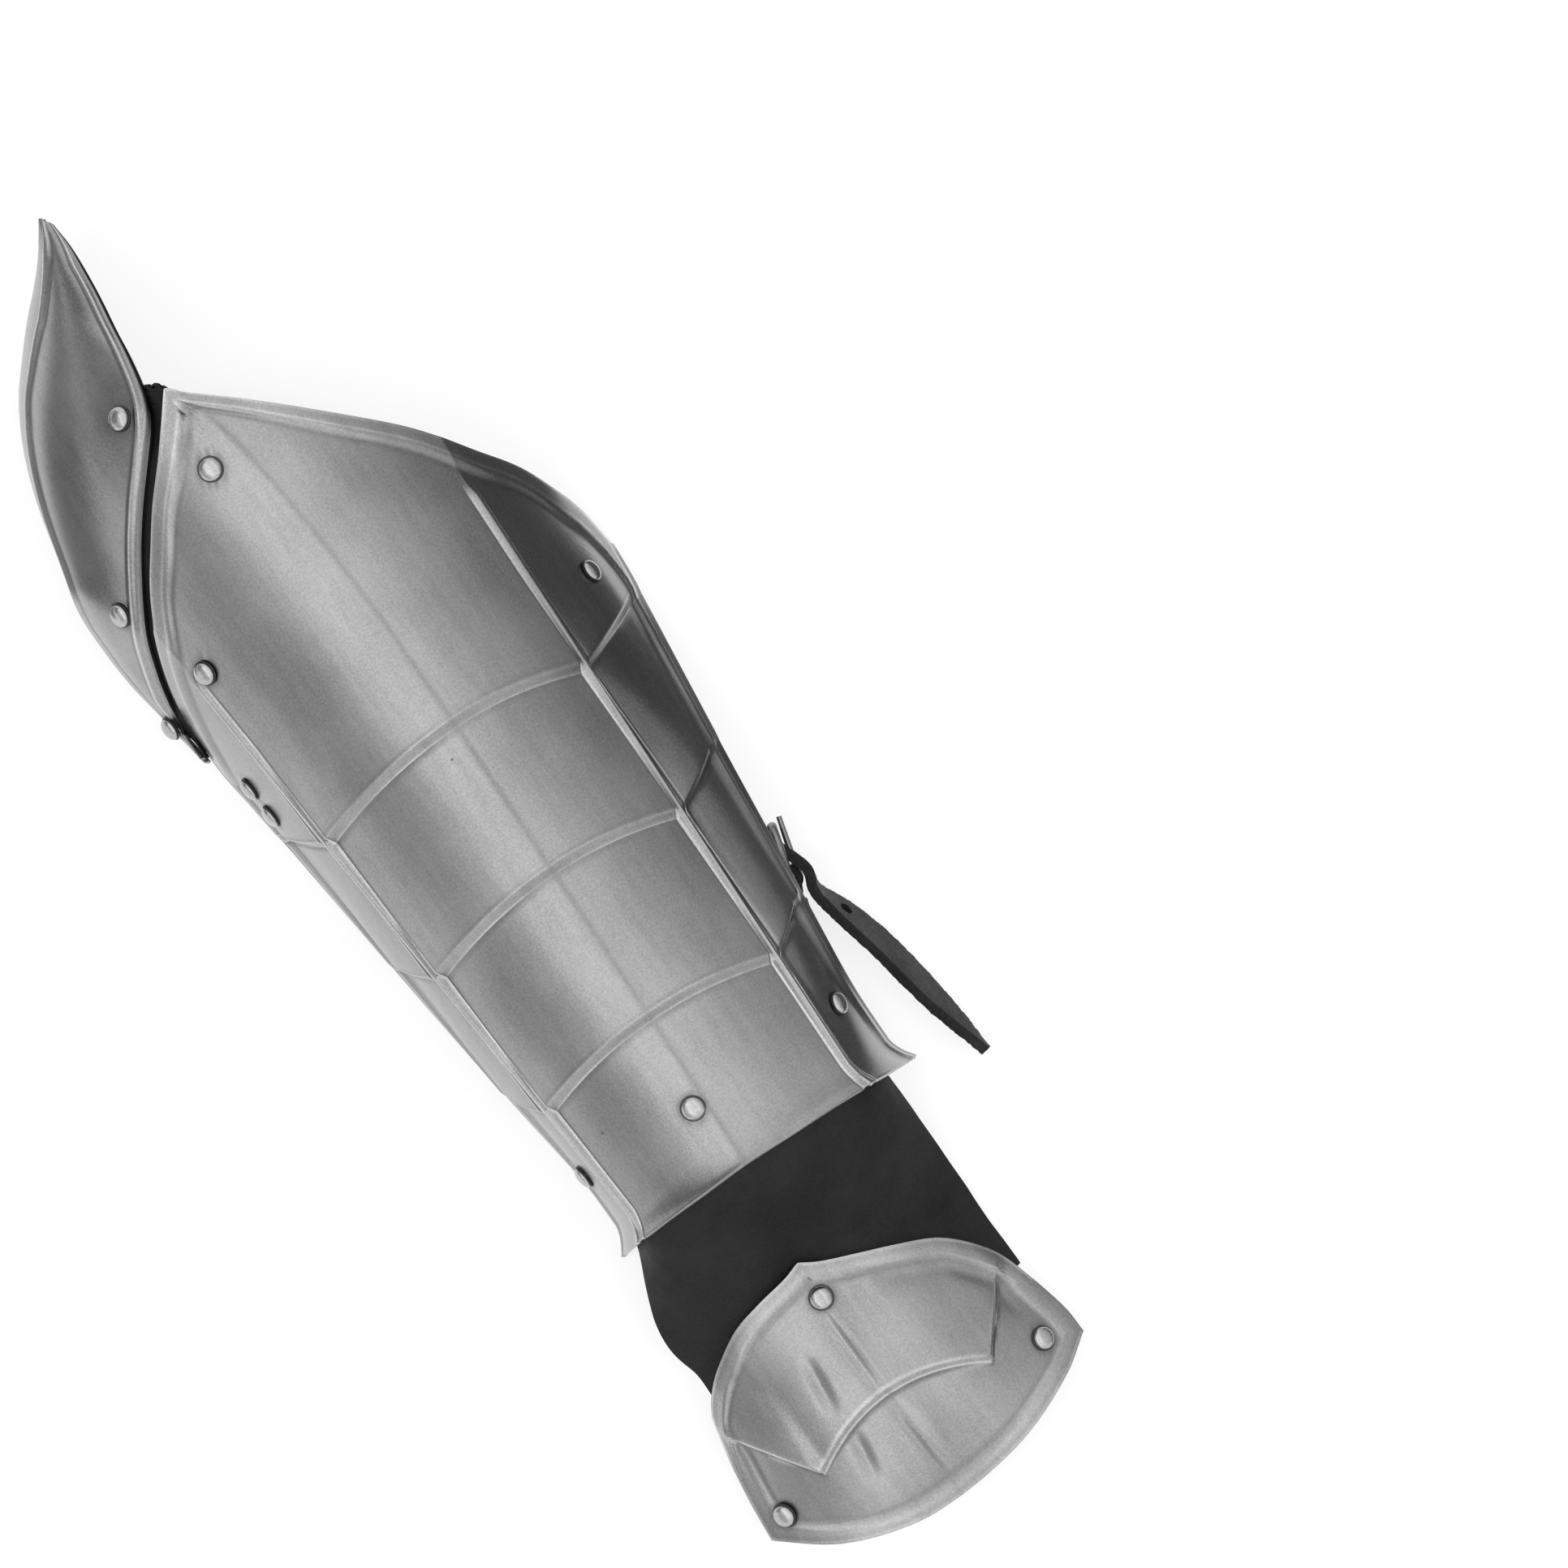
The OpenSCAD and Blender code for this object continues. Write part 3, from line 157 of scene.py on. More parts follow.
def smooth(piece, degrees=35):
    pick(piece)
    bpy.ops.object.shade_smooth_by_angle(angle=math.radians(degrees))


def formedSheet(name, points, marks, thick):
    # a grid laid on the formed shape, then given its thickness inwards
    rows, cols = points.shape[:2]
    deselectAll()
    bpy.ops.mesh.primitive_grid_add(x_subdivisions=cols - 1, y_subdivisions=rows - 1, size=1.0)
    piece = bpy.context.active_object
    piece.name = name
    mesh = piece.data
    flat = np.zeros(len(mesh.vertices) * 3, np.float32)
    mesh.vertices.foreach_get("co", flat)
    flat = flat.reshape(-1, 3)
    i = np.rint((flat[:, 0] + 0.5) * (cols - 1)).astype(int)
    j = np.rint((flat[:, 1] + 0.5) * (rows - 1)).astype(int)
    placed = (points[j, i] + shift) * mm
    mesh.vertices.foreach_set("co", placed.astype(np.float32).ravel())
    # dirt, painted shade and painted highlights, carried to the steel as one mark
    dirtAndPaintedLight = mesh.attributes.new("dirtAndPaintedLight", "FLOAT", "POINT")
    dirtAndPaintedLight.data.foreach_set("value", marks[j, i].astype(np.float32))
    mesh.update()
    wall = piece.modifiers.new("wall", "SOLIDIFY")
    wall.thickness = thick * mm
    wall.offset = -1
    wall.use_even_offset = True
    edge = piece.modifiers.new("edge", "BEVEL")
    edge.width = 0.22 * mm
    edge.segments = 2
    edge.limit_method = "ANGLE"
    edge.angle_limit = math.radians(60)
    applyAll(piece)
    smooth(piece, 50)
    return piece


# forearm plate: the sizes of its section and of the pressed work
forearm = {
    "wrist": (44.6, 50.4), "elbow": (65.6, 66.2), "wristHigh": 52, "elbowHigh": 70,
    "ridgeGap": (76, 97), "ridgeHigh": (38, 47), "thick": 1.2, "bead": 1.3, "keel": 1.2,
    "stepHigh": 2.2, "stepRun": 5, "facet": 0.68, "stepFirst": 50, "stepPitch": 50, "dip": 7, "kick": 12,
    "rimWide": 6, "rimLift": 1.6, "flareLong": 9, "flareOut": 4, "archRight": 23.5, "archLeft": 6,
    "keelWide": 6, "groove": 0.08, "dents": 0.07, "beadEnd": 206, "panelOut": 2.2,
}
# rows of distance from the wrist and share of the way from the wrist's size to the elbow's
leftTable = [(0, 0), (18, 0.015), (48, 0.195), (80, 0.388), (112, 0.567), (144, 0.752),
             (168, 0.9), (180, 0.975), (196, 1)]
rightTable = [(0, 0.02), (22, 0.055), (53, 0.26), (79, 0.425), (104, 0.595), (125, 0.745),
              (145, 0.89), (160, 0.985), (171, 1.03)]
crownTable = [(0, 0), (54, 0.36), (104, 0.68), (152, 0.98), (200, 1.06), (274, 0.98)]
# where the raised middle line runs, and how high the side edges arch
middleTable = [(0, -1.2), (54, 0.3), (104, 1.2), (152, 2.2), (200, 1.5), (250, -3.4), (280, -11.7)]
archTable = [(-4, 0), (10, 0.42), (22, 0.7), (36, 0.9), (55, 0.99), (78, 1), (100, 0.95), (125, 0.68),
             (150, 0.28), (172, 0)]
# outline at the elbow, up to the point and down from it
topLeft = [(-66.6, 193), (-63.2, 205), (-59.2, 214.1), (-54.4, 222.6), (-48.8, 231.4), (-41.4, 240.4),
           (-33.6, 249.6), (-24.6, 258.9), (-16.8, 267.8), (-11.7, 274)]
topRight = [(-11.7, 274), (-8, 270.3), (5.9, 258.3), (25.4, 240.3), (40, 226.1), (50.9, 212.1),
            (58.3, 202.5), (62.9, 192.9), (65.9, 183.6), (67.6, 170.4)]
# a long slope on the inner side of a ridge, a groove and a thin second bead on its outer side
beadTable = [(-2.5, 0), (-2.2, 0.06), (-1.5, 0.5), (-0.75, 0.94), (-0.5, 1), (-0.1, 0.93),
             (1.4, 0.08), (1.7, 0.18), (2.1, 0.14), (2.6, 0)]


def leftX(y):
    return -mix(forearm["wrist"][0], forearm["elbow"][0], curveAt(leftTable, y))


def rightX(y):
    return mix(forearm["wrist"][1], forearm["elbow"][1], curveAt(rightTable, y))


def ridgeX(y, side):
    return side * mix(*forearm["ridgeGap"], held(y / 205)) / 2 + mix(0.6, -5.2, held(y / 205))


def ridgeZ(y, side):
    return mix(*forearm["ridgeHigh"], held(y / 170)) + np.where(side > 0, 1.5, -0.8)


def edgeZ(y, side):
    return 0.3 + np.where(side > 0, forearm["archRight"], forearm["archLeft"]) * curveAt(archTable, y)


def panelAt(a, b, t, side, out):
    d = b - a
    n = unit(np.stack([side * d[..., 1], np.abs(d[..., 0])], -1))
    return mix(a, b, t[..., None]) + n * (out * 4 * t * (1 - t))[..., None]


def foreSection(u, y):
    # x and z of the smooth plate; u runs from 0 at the left edge to 4 at the right edge
    u, y = np.broadcast_arrays(np.asarray(u, float), np.asarray(y, float))
    la = np.stack([leftX(y), edgeZ(y, -1)], -1)
    lr = np.stack([ridgeX(y, -1), ridgeZ(y, -1)], -1)
    mc = np.stack([curveAt(middleTable, y),
                   mix(forearm["wristHigh"], forearm["elbowHigh"], curveAt(crownTable, y))], -1)
    rr = np.stack([ridgeX(y, 1), ridgeZ(y, 1)], -1)
    ra = np.stack([rightX(y), edgeZ(y, 1)], -1)
    q = np.abs(u - 2)
    leftPanel = panelAt(la, lr, held(u), -1, forearm["panelOut"])
    rightPanel = panelAt(ra, rr, held(4 - u), 1, forearm["panelOut"])
    near = np.where((u < 2)[..., None], lr, rr)
    crown = np.stack([mix(mc[..., 0], near[..., 0], q),
                      mc[..., 1] - (mc[..., 1] - near[..., 1]) * q * q], -1)
    return np.where((u < 1)[..., None], leftPanel, np.where((u > 3)[..., None], rightPanel, crown))


def foreBase(u, y):
    s = foreSection(u, y)
    return np.stack([s[..., 0], np.broadcast_to(y, s[..., 0].shape), s[..., 1]], -1)


def foreNormal(u, y):
    a = foreSection(np.minimum(4, u + 0.02), y) - foreSection(np.maximum(0, u - 0.02), y)
    b = foreBase(u, y + 1.0) - foreBase(u, y - 1.0)
    across = np.stack([a[..., 0], np.zeros_like(a[..., 0]), a[..., 1]], -1)
    return unit(np.cross(across, b))


def topY(x):
    k = np.where(x < 0, forearm["elbow"][0] / 67, forearm["elbow"][1] / 67.6)
    w = x / k
    return np.where(w < -11.7, curveAt(topLeft, w), curveAt(topRight, w))


def topSlope(x):
    return topY(x + 0.5) - topY(x - 0.5)


def foreTop(u):
    y = np.full(np.shape(u), 230.0)
    for turn in range(24):
        y = mix(y, topY(foreSection(u, y)[..., 0]), 0.7)
    return y


def wristY(u):
    return -6 * (np.abs(u - 2) / 2) ** 1.2


def stepY(k, u):
    q = np.abs(u - 2)
    inside = np.minimum(1, q)
    return (forearm["stepFirst"] + k * forearm["stepPitch"] - forearm["dip"] * inside * inside
            + forearm["kick"] * np.maximum(0, q - 1) - 2)


def stepLift(u, y):
    # three pressed steps, sharp at the foot and round at the shoulder
    h, r = forearm["stepHigh"] / 2, forearm["stepRun"]
    a, b, c = (stepY(k, u) for k in range(3))

    def rise(foot):
        t = held((y - foot) / (r * forearm["facet"]))
        return mix(-h, h, mix(t, t * t * (3 - 2 * t), 0.35))

    fade = 0.1 + 0.9 * held(np.minimum(u, 4 - u) / 0.32)
    return fade * np.select(
        [y < a, y < a + r, y < b, y < b + r, y < c, y < c + r],
        [-h * held((y - wristY(u)) / (a - wristY(u))), rise(a), mix(h, -h, (y - a - r) / (b - a - r)),
         rise(b), mix(h, -h, (y - b - r) / (c - b - r)), rise(c)],
        h * (1 - held((y - c - r) / 30)))


def flare(u, y):
    return forearm["flareOut"] * held(1 - (y - wristY(u)) / forearm["flareLong"]) ** 1.6


def ridgeFar(u, y):
    # signed distance from the nearer ridge, positive towards the side edge
    side = np.where(u < 2, -1, 1)
    s = foreSection(u, y)
    far = np.hypot(s[..., 0] - ridgeX(y, side), s[..., 1] - ridgeZ(y, side))
    return np.where((u < 1) | (u > 3), far, -far)


def edgeFars(u, y):
    # distance from the nearer side edge, and from the edge at the elbow
    s = foreSection(u, y)
    left, right = foreSection(np.zeros_like(u), y), foreSection(np.full_like(u, 4.0), y)
    e = np.where((u < 2)[..., None], left, right)
    top = (foreTop(u[0])[None, :] - y) / np.sqrt(1 + topSlope(s[..., 0]) ** 2)
    return np.linalg.norm(s - e, axis=-1), top


def foreUnder(u, y, deep):
    # a point below the smooth plate, with the way out of the plate there
    u, y = np.asarray(u, float), np.asarray(y, float)
    n = foreNormal(u, y)
    return foreBase(u, y) + n * (stepLift(u, y) + flare(u, y) - deep)[..., None], n


# rivets: place across and along each plate, as its own functions take it
rivetMain = [(1.79, 248), (1.08, 203), (0.5, 170), (0.5, 160), (3.55, 166), (1.9, 21), (0.52, 21),
             (3.46, 21)]
rivetWing = [(10.05, 0.868), (6.2, 0.836), (2.6, 0.64)]
rivetHand = [(-6.5, -12.3), (39.9, -60.5), (-52.4, -60.5)]


def ringShade(points, spots):
    # painted shade in a ring round the rivet heads
    marks = np.zeros(points.shape[:2])
    for spot in spots:
        d = np.linalg.norm(points - spot, axis=-1)
        marks = np.maximum(marks, 0.5 * bell(d - 3.8, 1.1))
    return marks


def paintedLightAndWear(dirtAndPaintedLight, polishAndHighlight):
    # dirt and painted shade are above nought, worn bright places and painted highlights are below
    dirtAndPaintedLight, polishAndHighlight = np.maximum.reduce(dirtAndPaintedLight), np.maximum.reduce(polishAndHighlight)
    return dirtAndPaintedLight - polishAndHighlight * (1 - np.minimum(1, dirtAndPaintedLight))


def makeForearmPlate():
    halfStops = [0, 0.15, 0.92, 1.105, 1.9, 2]
    half = spread(halfStops, [10, 14, 30, 24, 8])
    u = np.concatenate([half, 4 - half[-2::-1]])
    w, t = wristY(u), foreTop(u)
    f = w + forearm["flareLong"]
    r = forearm["stepRun"]
    a, b, c = (stepY(k, u) for k in range(3))
    lean = np.sqrt(1 + topSlope(foreSection(u, t)[..., 0]) ** 2)
    inn = np.maximum(c + r + 2.4, t - forearm["rimWide"] * 1.3 * lean)
    stops = [w, f, a, a + r, b, b + r, c, c + r, inn, t]
    counts = [13, 20, 12, 22, 12, 22, 12, 44, 14]
    y = rowsAt(stops, counts)
    u = np.broadcast_to(u, y.shape).copy()
    base, normal = foreBase(u, y), foreNormal(u, y)
    x = base[..., 0]
    off, low = ridgeFar(u, y), held((forearm["beadEnd"] - y) / 5)
    bead = curveAt(beadTable, off) * low
    side, top = edgeFars(u, y)
    far = np.minimum(side, top)
    offMiddle = x - curveAt(middleTable, y)
    keel = forearm["keel"] * np.exp(-np.sqrt(offMiddle ** 2 + 0.25) / forearm["keelWide"])
    groove = forearm["groove"] * bell(offMiddle - 0.2, 0.9) * held((far - 4) / 6)
    lift = (stepLift(u, y) * (1 - held(bead * 1.4)) + bead * forearm["bead"] + keel - groove
            + flare(u, y) + rimAt(forearm, far) + dents(x, y, forearm["dents"]) * held(far / 8))
    points = base + normal * lift[..., None]
    clear = held(1 - bead * 2) * (0.7 + 0.3 * np.sin(x / 7 + y / 9)) * mix(1, 0.4, held(offMiddle / 26))
    fromFoot = [y - stepY(m, u) for m in range(3)]
    spots = [foreUnder(np.array(p[0]), np.array(p[1]), 0)[0] for p in rivetMain]

    def alongSteps(place, wide):
        return sum(bell(f - place, wide) for f in fromFoot) * clear

    # painted shade, partly dirt, along the step feet, beside the ridges, on the middle line, inside the rim
    # and round the rivets; darker along the side edges; painted highlights along the step shoulders, the bead
    # crests and the edges
    marks = paintedLightAndWear(
        [0.7 * alongSteps(-0.15, 0.35), 0.35 * alongSteps(4.1, 0.6),
         0.95 * bell(off - 1.1, 0.45) * low, 0.7 * bell(off + 2.6, 0.22) * low,
         0.15 * bell(offMiddle - 0.2, 0.8), 0.35 * bell(far - forearm["rimWide"] - 0.3, 0.8),
         0.42 * held((2.5 - side) / 0.3), ringShade(points, spots)],
        [0.8 * alongSteps(0.45, 0.25), 0.5 * alongSteps(3.4, 0.3),
         0.9 * bell(off + 0.45, 0.28) * low, 0.8 * bell(off + 2.2, 0.25) * low,
         0.8 * bell(off - 1.9, 0.25) * low, 0.9 * bell(side - 3.0, 0.35),
         0.9 * bell(top - 0.2, 0.3), 0.5 * bell(top - 3.4, 0.4)])
    piece = formedSheet("forearmPlate", points, marks, forearm["thick"])
    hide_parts("forearm_plate")
    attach(piece, "forearm")
    return piece


# hand plate: places along it count from its point towards the fingers
hand = {"high": 23, "rest": 5, "step": 1.4, "gap": 35, "rimWide": 6, "rimLift": 1.6, "thick": 1.2,
        "keel": 0.96, "keelWide": 4, "groove": 0.2, "dip": 0.9, "sideStep": 0.7}
handLeft = [(-65.1, -59.6), (-52.6, -58.5), (-40, -56.7)]
handRight = [(-66.1, 50), (-57.9, 49.4), (-45.4, 46.4)]
handTopLeft = [(-56.7, -40), (-55.1, -32.8), (-53.1, -24.6), (-47.6, -17), (-40.1, -11), (-31.9, -6.3),
               (-21.7, -3.6), (-12, -1.8), (-6.6, 0)]
handTopRight = [(-6.6, 0), (-1.1, -3.3), (9, -7.6), (19.1, -11.9), (29.1, -16.9), (34.2, -21.2),
                (39.3, -27.5), (43.3, -35), (46.4, -45.4)]
handLow = [(-59.6, -65.1), (-42.7, -76.2), (-22, -82.8), (-4.5, -83.6), (18.9, -80.4),
           (39.2, -72.9), (50, -66.1)]
handCrown = [(-84, 0.56), (-57, 0.9), (-27, 1), (0, 0.87)]


def handTop(x):
    return np.where(x < -6.6, curveAt(handTopLeft, x), curveAt(handTopRight, x))


def handX(u, v):
    return mix(curveAt(handLeft, v), curveAt(handRight, v), u)


def handZ(x, v):
    half = np.where(x < -5, -5 - curveAt(handLeft, v), curveAt(handRight, v) + 5)
    q = np.abs(x + 5) / half
    c = hand["high"] * curveAt(handCrown, v)
    return hand["rest"] + (c - 1.2) * (1 - np.minimum(q, 1.15) ** 2.2)


def handNormal(x, v):
    return unit(np.stack([-(handZ(x + 0.3, v) - handZ(x - 0.3, v)) / 0.6,
                          -(handZ(x, v + 0.3) - handZ(x, v - 0.3)) / 0.6, np.ones_like(x)], -1))


# foot of the pressed step: an arch between two corners, and straight ends that climb from them
handArch = {"left": -35.4, "right": 23.6, "leftFoot": -56.6, "rightFoot": -57.3, "leftClimb": 1.33,
            "rightClimb": 1.2, "middle": -6, "crown": -47, "rise": 10, "half": 29.5}


def handLine(x):
    arch = handArch
    crown = arch["crown"] - arch["rise"] * (np.abs(x - arch["middle"]) / arch["half"]) ** 2
    right = np.where(x > arch["right"], arch["rightFoot"] + (x - arch["right"]) * arch["rightClimb"], crown)
    return np.where(x < arch["left"], arch["leftFoot"] - (x - arch["left"]) * arch["leftClimb"], right)


def handFar(x, v):
    a, b = handTop(x) - v, v - curveAt(handLow, x)
    sa = handTop(x + 0.5) - handTop(x - 0.5)
    sb = curveAt(handLow, x + 0.5) - curveAt(handLow, x - 0.5)
    side = np.minimum(x - curveAt(handLeft, v), curveAt(handRight, v) - x)
    return np.minimum(np.minimum(a / np.sqrt(1 + sa * sa), b / np.sqrt(1 + sb * sb)), side)


# creases hammered into the hand plate: both ends, depth, width
handCreases = [
    ((-20.6, -26.0), (-22.1, -40.5), 0.95, 1.9), ((-6.5, -47.7), (-3.4, -76.0), 1.15, 2.3),
    ((-21.4, -51.5), (-23.5, -64.0), 0.95, 1.9), ((-8.6, -18.0), (-7.6, -45.0), 1.15, 2.1)]


def creased(x, v):
    lift = np.zeros_like(x)
    for a, b, deep, wide in handCreases:
        a, d = np.array(a), np.array(b) - np.array(a)
        t = held(((x - a[0]) * d[0] + (v - a[1]) * d[1]) / (d @ d))
        far = np.hypot(x - a[0] - t * d[0], v - a[1] - t * d[1])
        lift -= deep * bell(far, wide) * (0.45 + 0.55 * np.sin(math.pi * t))
    return lift


def makeHandPlate():
    u = spread([0, 0.1, 0.44, 0.5, 0.9, 1], [12, 34, 12, 40, 12])
    top, low = np.full(u.shape, -20.0), np.full(u.shape, -75.0)
    for turn in range(24):
        top = mix(top, handTop(handX(u, top)), 0.7)
        low = mix(low, curveAt(handLow, handX(u, low)), 0.7)
    w = np.minimum(hand["rimWide"], (top - low) * 0.24)
    line = np.maximum(low + w * 1.1 + 3, np.minimum(top - w * 1.15 - 5, handLine(handX(u, -50.0))))
    stops = [low, low + w * 1.1, line, line + 3, top - w * 1.15, top]
    counts = [10, 16, 9, 34, 10]
    v = rowsAt(stops, counts)
    x = handX(np.broadcast_to(u, v.shape), v)
    base = np.stack([x, v - hand["gap"], handZ(x, v)], -1)
    normal = handNormal(x, v)
    far = handFar(x, v)
    past = v - handLine(x)
    t, inside = held(past / 3), held((far - 4) / 4)
    step = hand["step"] * (1 - (1 - t) ** 1.9) * (1 - 0.8 * held((past - 3) / 26))
    step *= 1 + hand["sideStep"] * held((-x - 33) / 3)
    keel = hand["keel"] * np.exp(-np.sqrt((x + 6) ** 2 + 0.2) / hand["keelWide"]) * held((far - 3) / 6)
    groove = hand["groove"] * bell(x + 5.8, 0.7) * held((far - 6) / 6)
    dip = hand["dip"] * bell(far - 8.5, 3) * held((x - 8) / 10) * held((v + 55) / 12)
    lift = (step * held(far / 5) + keel - groove + rimAt(hand, far) + creased(x, v) - dip
            + (dents(x, v, 0.14) + dents(v * 1.9, x * 2.3, 0.06)) * held(far / 8))
    points = base + normal * lift[..., None]
    spots = []
    for px, pv in rivetHand:
        px, pv = np.array(float(px)), np.array(float(pv))
        spots.append(np.array([px, pv - hand["gap"], handZ(px, pv)]))
    # painted shade, partly dirt, at the step foot, along the middle groove, inside the rim and round the
    # rivets; painted highlights on the step, the edge, the rim and the left end of the step
    marks = paintedLightAndWear(
        [0.6 * bell(past + 0.1, 0.4) * inside, 0.12 * bell(x + 5.8, 0.7),
         0.35 * bell(far - hand["rimWide"] - 0.3, 0.8), ringShade(points, spots)],
        [0.8 * bell(past - 0.7, 0.35) * inside, 0.4 * bell(past - 2.9, 0.4) * inside,
         0.8 * bell(far - 0.3, 0.3), 0.2 * bell(far - 3.2, 1),
         0.9 * held((-x - 34) / 3) * bell(past - 2, 1.4)])
    piece = formedSheet("handPlate", points, marks, hand["thick"])
    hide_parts("hand_plate")
    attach(piece, "hand")
    return piece


# wing plate: points of its lower outer edge, and of its inner edge past the corner
wing = {"bulge": 8, "drop": 4, "gap": 4, "thick": 1.2, "bead": 1.3, "lineIn": 16.5, "dents": 0.06}
outerEdge = [
    (-68, 184.5, 1.4), (-68.9, 190, 1.4), (-70, 198, 1.4), (-71, 208, 1.4), (-71.8, 220, 1.4),
    (-72.3, 234, 1.4), (-71.6, 250, 1.4), (-69.6, 263, 1.6), (-66, 278, 2.4), (-60.4, 292.6, 3.8),
    (-53, 305, 6), (-45, 314, 9), (-37, 322, 12.5), (-30, 328, 16), (-24, 333.5, 20),
    (-19.5, 338.5, 24), (-16.5, 342.3, 26)]
freeEdge = [(-17.2, 278, 62), (-15.2, 290, 56), (-14.3, 301.4, 49), (-13.1, 314, 41.5), (-12.7, 329, 32),
            (-13.6, 339.5, 27)]
seamCols = [0, 0.1, 0.25, 0.45, 0.7, 1, 1.2, 1.4, 1.6, 1.78]


def seamPoint(u):
    u = np.array(float(u))
    y = foreTop(u)
    p = foreBase(u, y)
    s = topSlope(p[0] + 0.3)
    n = np.array([-s, 1]) / math.sqrt(1 + s * s)
    gap = mix(3.6, wing["gap"], min(1, float(u) / 0.5))
    return np.array([p[0] + n[0] * gap, y + n[1] * gap, max(9, p[2] - wing["drop"])])


corner = seamPoint(1.78)
lowEnd = np.array([leftX(np.array(186.0)) - 3.5, 187.5, 5])
innerEdge = ([lowEnd, mix(lowEnd, seamPoint(0.1), 0.55)] + [seamPoint(u) for u in seamCols[1:]]
             + [corner + np.array(p) - np.array([-20.6, 270, 64.5]) for p in freeEdge])


def wingOut(s):
    a, b = splineAt(outerEdge, s), splineAt(innerEdge, s)
    up, down = np.minimum(15.9, s + 0.4), np.maximum(0.1, s - 0.4)
    along = (splineAt(outerEdge, up) + splineAt(innerEdge, up)
             - splineAt(outerEdge, down) - splineAt(innerEdge, down))
    return unit(np.cross(b - a, along))


def wingWidth(s):
    return np.linalg.norm(splineAt(outerEdge, s) - splineAt(innerEdge, s), axis=-1)


def wingBase(s, t):
    bulge = wing["bulge"] * np.minimum(1.15, wingWidth(s) / 66) * 4 * t * (1 - t)
    return mix(splineAt(outerEdge, s), splineAt(innerEdge, s), t[..., None]) + wingOut(s) * bulge[..., None]


def wingNormal(s, t):
    return unit(np.cross(
        wingBase(s, np.minimum(1, t + 0.03)) - wingBase(s, np.maximum(0, t - 0.03)),
        wingBase(np.minimum(15.95, s + 0.15), t) - wingBase(np.maximum(0.05, s - 0.15), t)))


def makeWingPlate():
    s = np.linspace(0, 16, 150)[:, None]
    w = wingWidth(s[:, 0])[:, None]
    k = np.minimum(1, w / 24)
    line = np.minimum(wing["lineIn"], 0.3 * w)
    edge, inner = (line + 5 * k) / w, 1 - 6.6 * k / w
    outer = np.linspace(0, 1, 41)[None, :-1] * edge
    middle = edge + (inner - edge) * np.linspace(0, 1, 31)[None, :-1]
    rest = inner + (1 - inner) * np.linspace(0, 1, 16)[None, :]
    t = np.concatenate([outer, middle, rest], 1)
    s = np.broadcast_to(s, t.shape).copy()
    fromOut, fromIn = t * w / k, (1 - t) * w / k
    past = (t * w - line) / k   # from the outer bead inwards
    outerBead = 0.8 * soft(1.1 - np.where(past < 0, -past / 1.3, past / 4.2))
    innerBead = 0.65 * soft(1.2 - np.abs(fromIn - 3.7) / 1.6)
    lift = k * wing["bead"] * (outerBead + innerBead)
    base, normal = wingBase(s, t), wingNormal(s, t)
    points = base + normal * (lift + dents(base[..., 0], base[..., 1], wing["dents"]))[..., None]
    spots = [wingBase(np.array([float(p[0])]), np.array([float(p[1])]))[0] for p in rivetWing]
    # painted shade, partly dirt, beside the outer bead, inside the inner bead and round the rivets; a dark
    # strip along the inner edge, darkest where it runs free; painted highlights on the outer edge and along
    # the beads
    marks = paintedLightAndWear(
        [0.5 * bell(past - 4.4, 0.5), 0.6 * bell(past + 1.2, 0.4), 0.5 * bell(fromIn - 5.5, 0.4),
         held((1.1 - fromIn) / 0.35) * (0.4 + 1.6 * held((s - 9.5) / 1)), ringShade(points, spots)],
        [0.5 * bell(fromOut - 0.4, 0.3), bell(past, 0.4), 0.4 * bell(past - 2.2, 1.0),
         0.8 * bell(fromIn - 3.7, 0.4)])
    piece = formedSheet("wingPlate", points, marks, wing["thick"])
    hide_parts("wing_plate")
    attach(piece, "wing")
    return piece


plates = [makeForearmPlate(), makeHandPlate(), makeWingPlate()]
print("plates formed")


# rivets: one is turned up from rings, and each place gets its own copy
rivetForm = {"head": 3.5, "skirt": 3.8, "dome": 2.2, "shank": 1.5, "rings": 9, "around": 40}


def turnedPiece(name, profile, around):
    # rings extruded and drawn in one after the other along the axis
    deselectAll()
    z, r = profile[0]
    bpy.ops.mesh.primitive_circle_add(vertices=around, radius=r * mm, fill_type="NGON", location=(0, 0, 0))
    piece = bpy.context.active_object
    piece.name = name
    bpy.ops.object.mode_set(mode="EDIT")
    bpy.ops.mesh.select_all(action="SELECT")
    bpy.ops.transform.translate(value=(0, 0, z * mm))
    for nextZ, nextR in profile[1:]:
        bpy.ops.mesh.extrude_region_move(TRANSFORM_OT_translate={"value": (0, 0, (nextZ - z) * mm)})
        bpy.ops.transform.resize(value=(nextR / r, nextR / r, 1), center_override=(0, 0, nextZ * mm))
        z, r = nextZ, nextR
    bpy.ops.mesh.select_all(action="SELECT")
    bpy.ops.mesh.normals_make_consistent(inside=False)
    bpy.ops.object.mode_set(mode="OBJECT")
    return piece


def rivetProfile(stack):
    # from the riveted end inside up to the flattened dome outside
    end = -stack - 0.9
    shank, skirt, head = rivetForm["shank"], rivetForm["skirt"], rivetForm["head"]
    profile = [(end - 1.15, 1.2), (end - 1.1, 1.9), (end - 0.75, 2.2), (end - 0.3, 1.7), (end - 0.3, shank),
               (0.1, shank), (0.1, skirt), (0.3, skirt + 0.06), (0.36, skirt - 0.02),
               (0.38, head - 0.05), (0.5, head)]
    for k in range(1, rivetForm["rings"]):
        a = math.radians(90 * k / rivetForm["rings"])
        profile.append((0.5 + (rivetForm["dome"] - 0.35) * math.sin(a) ** 0.92, head * math.cos(a) ** 0.9))
    return profile


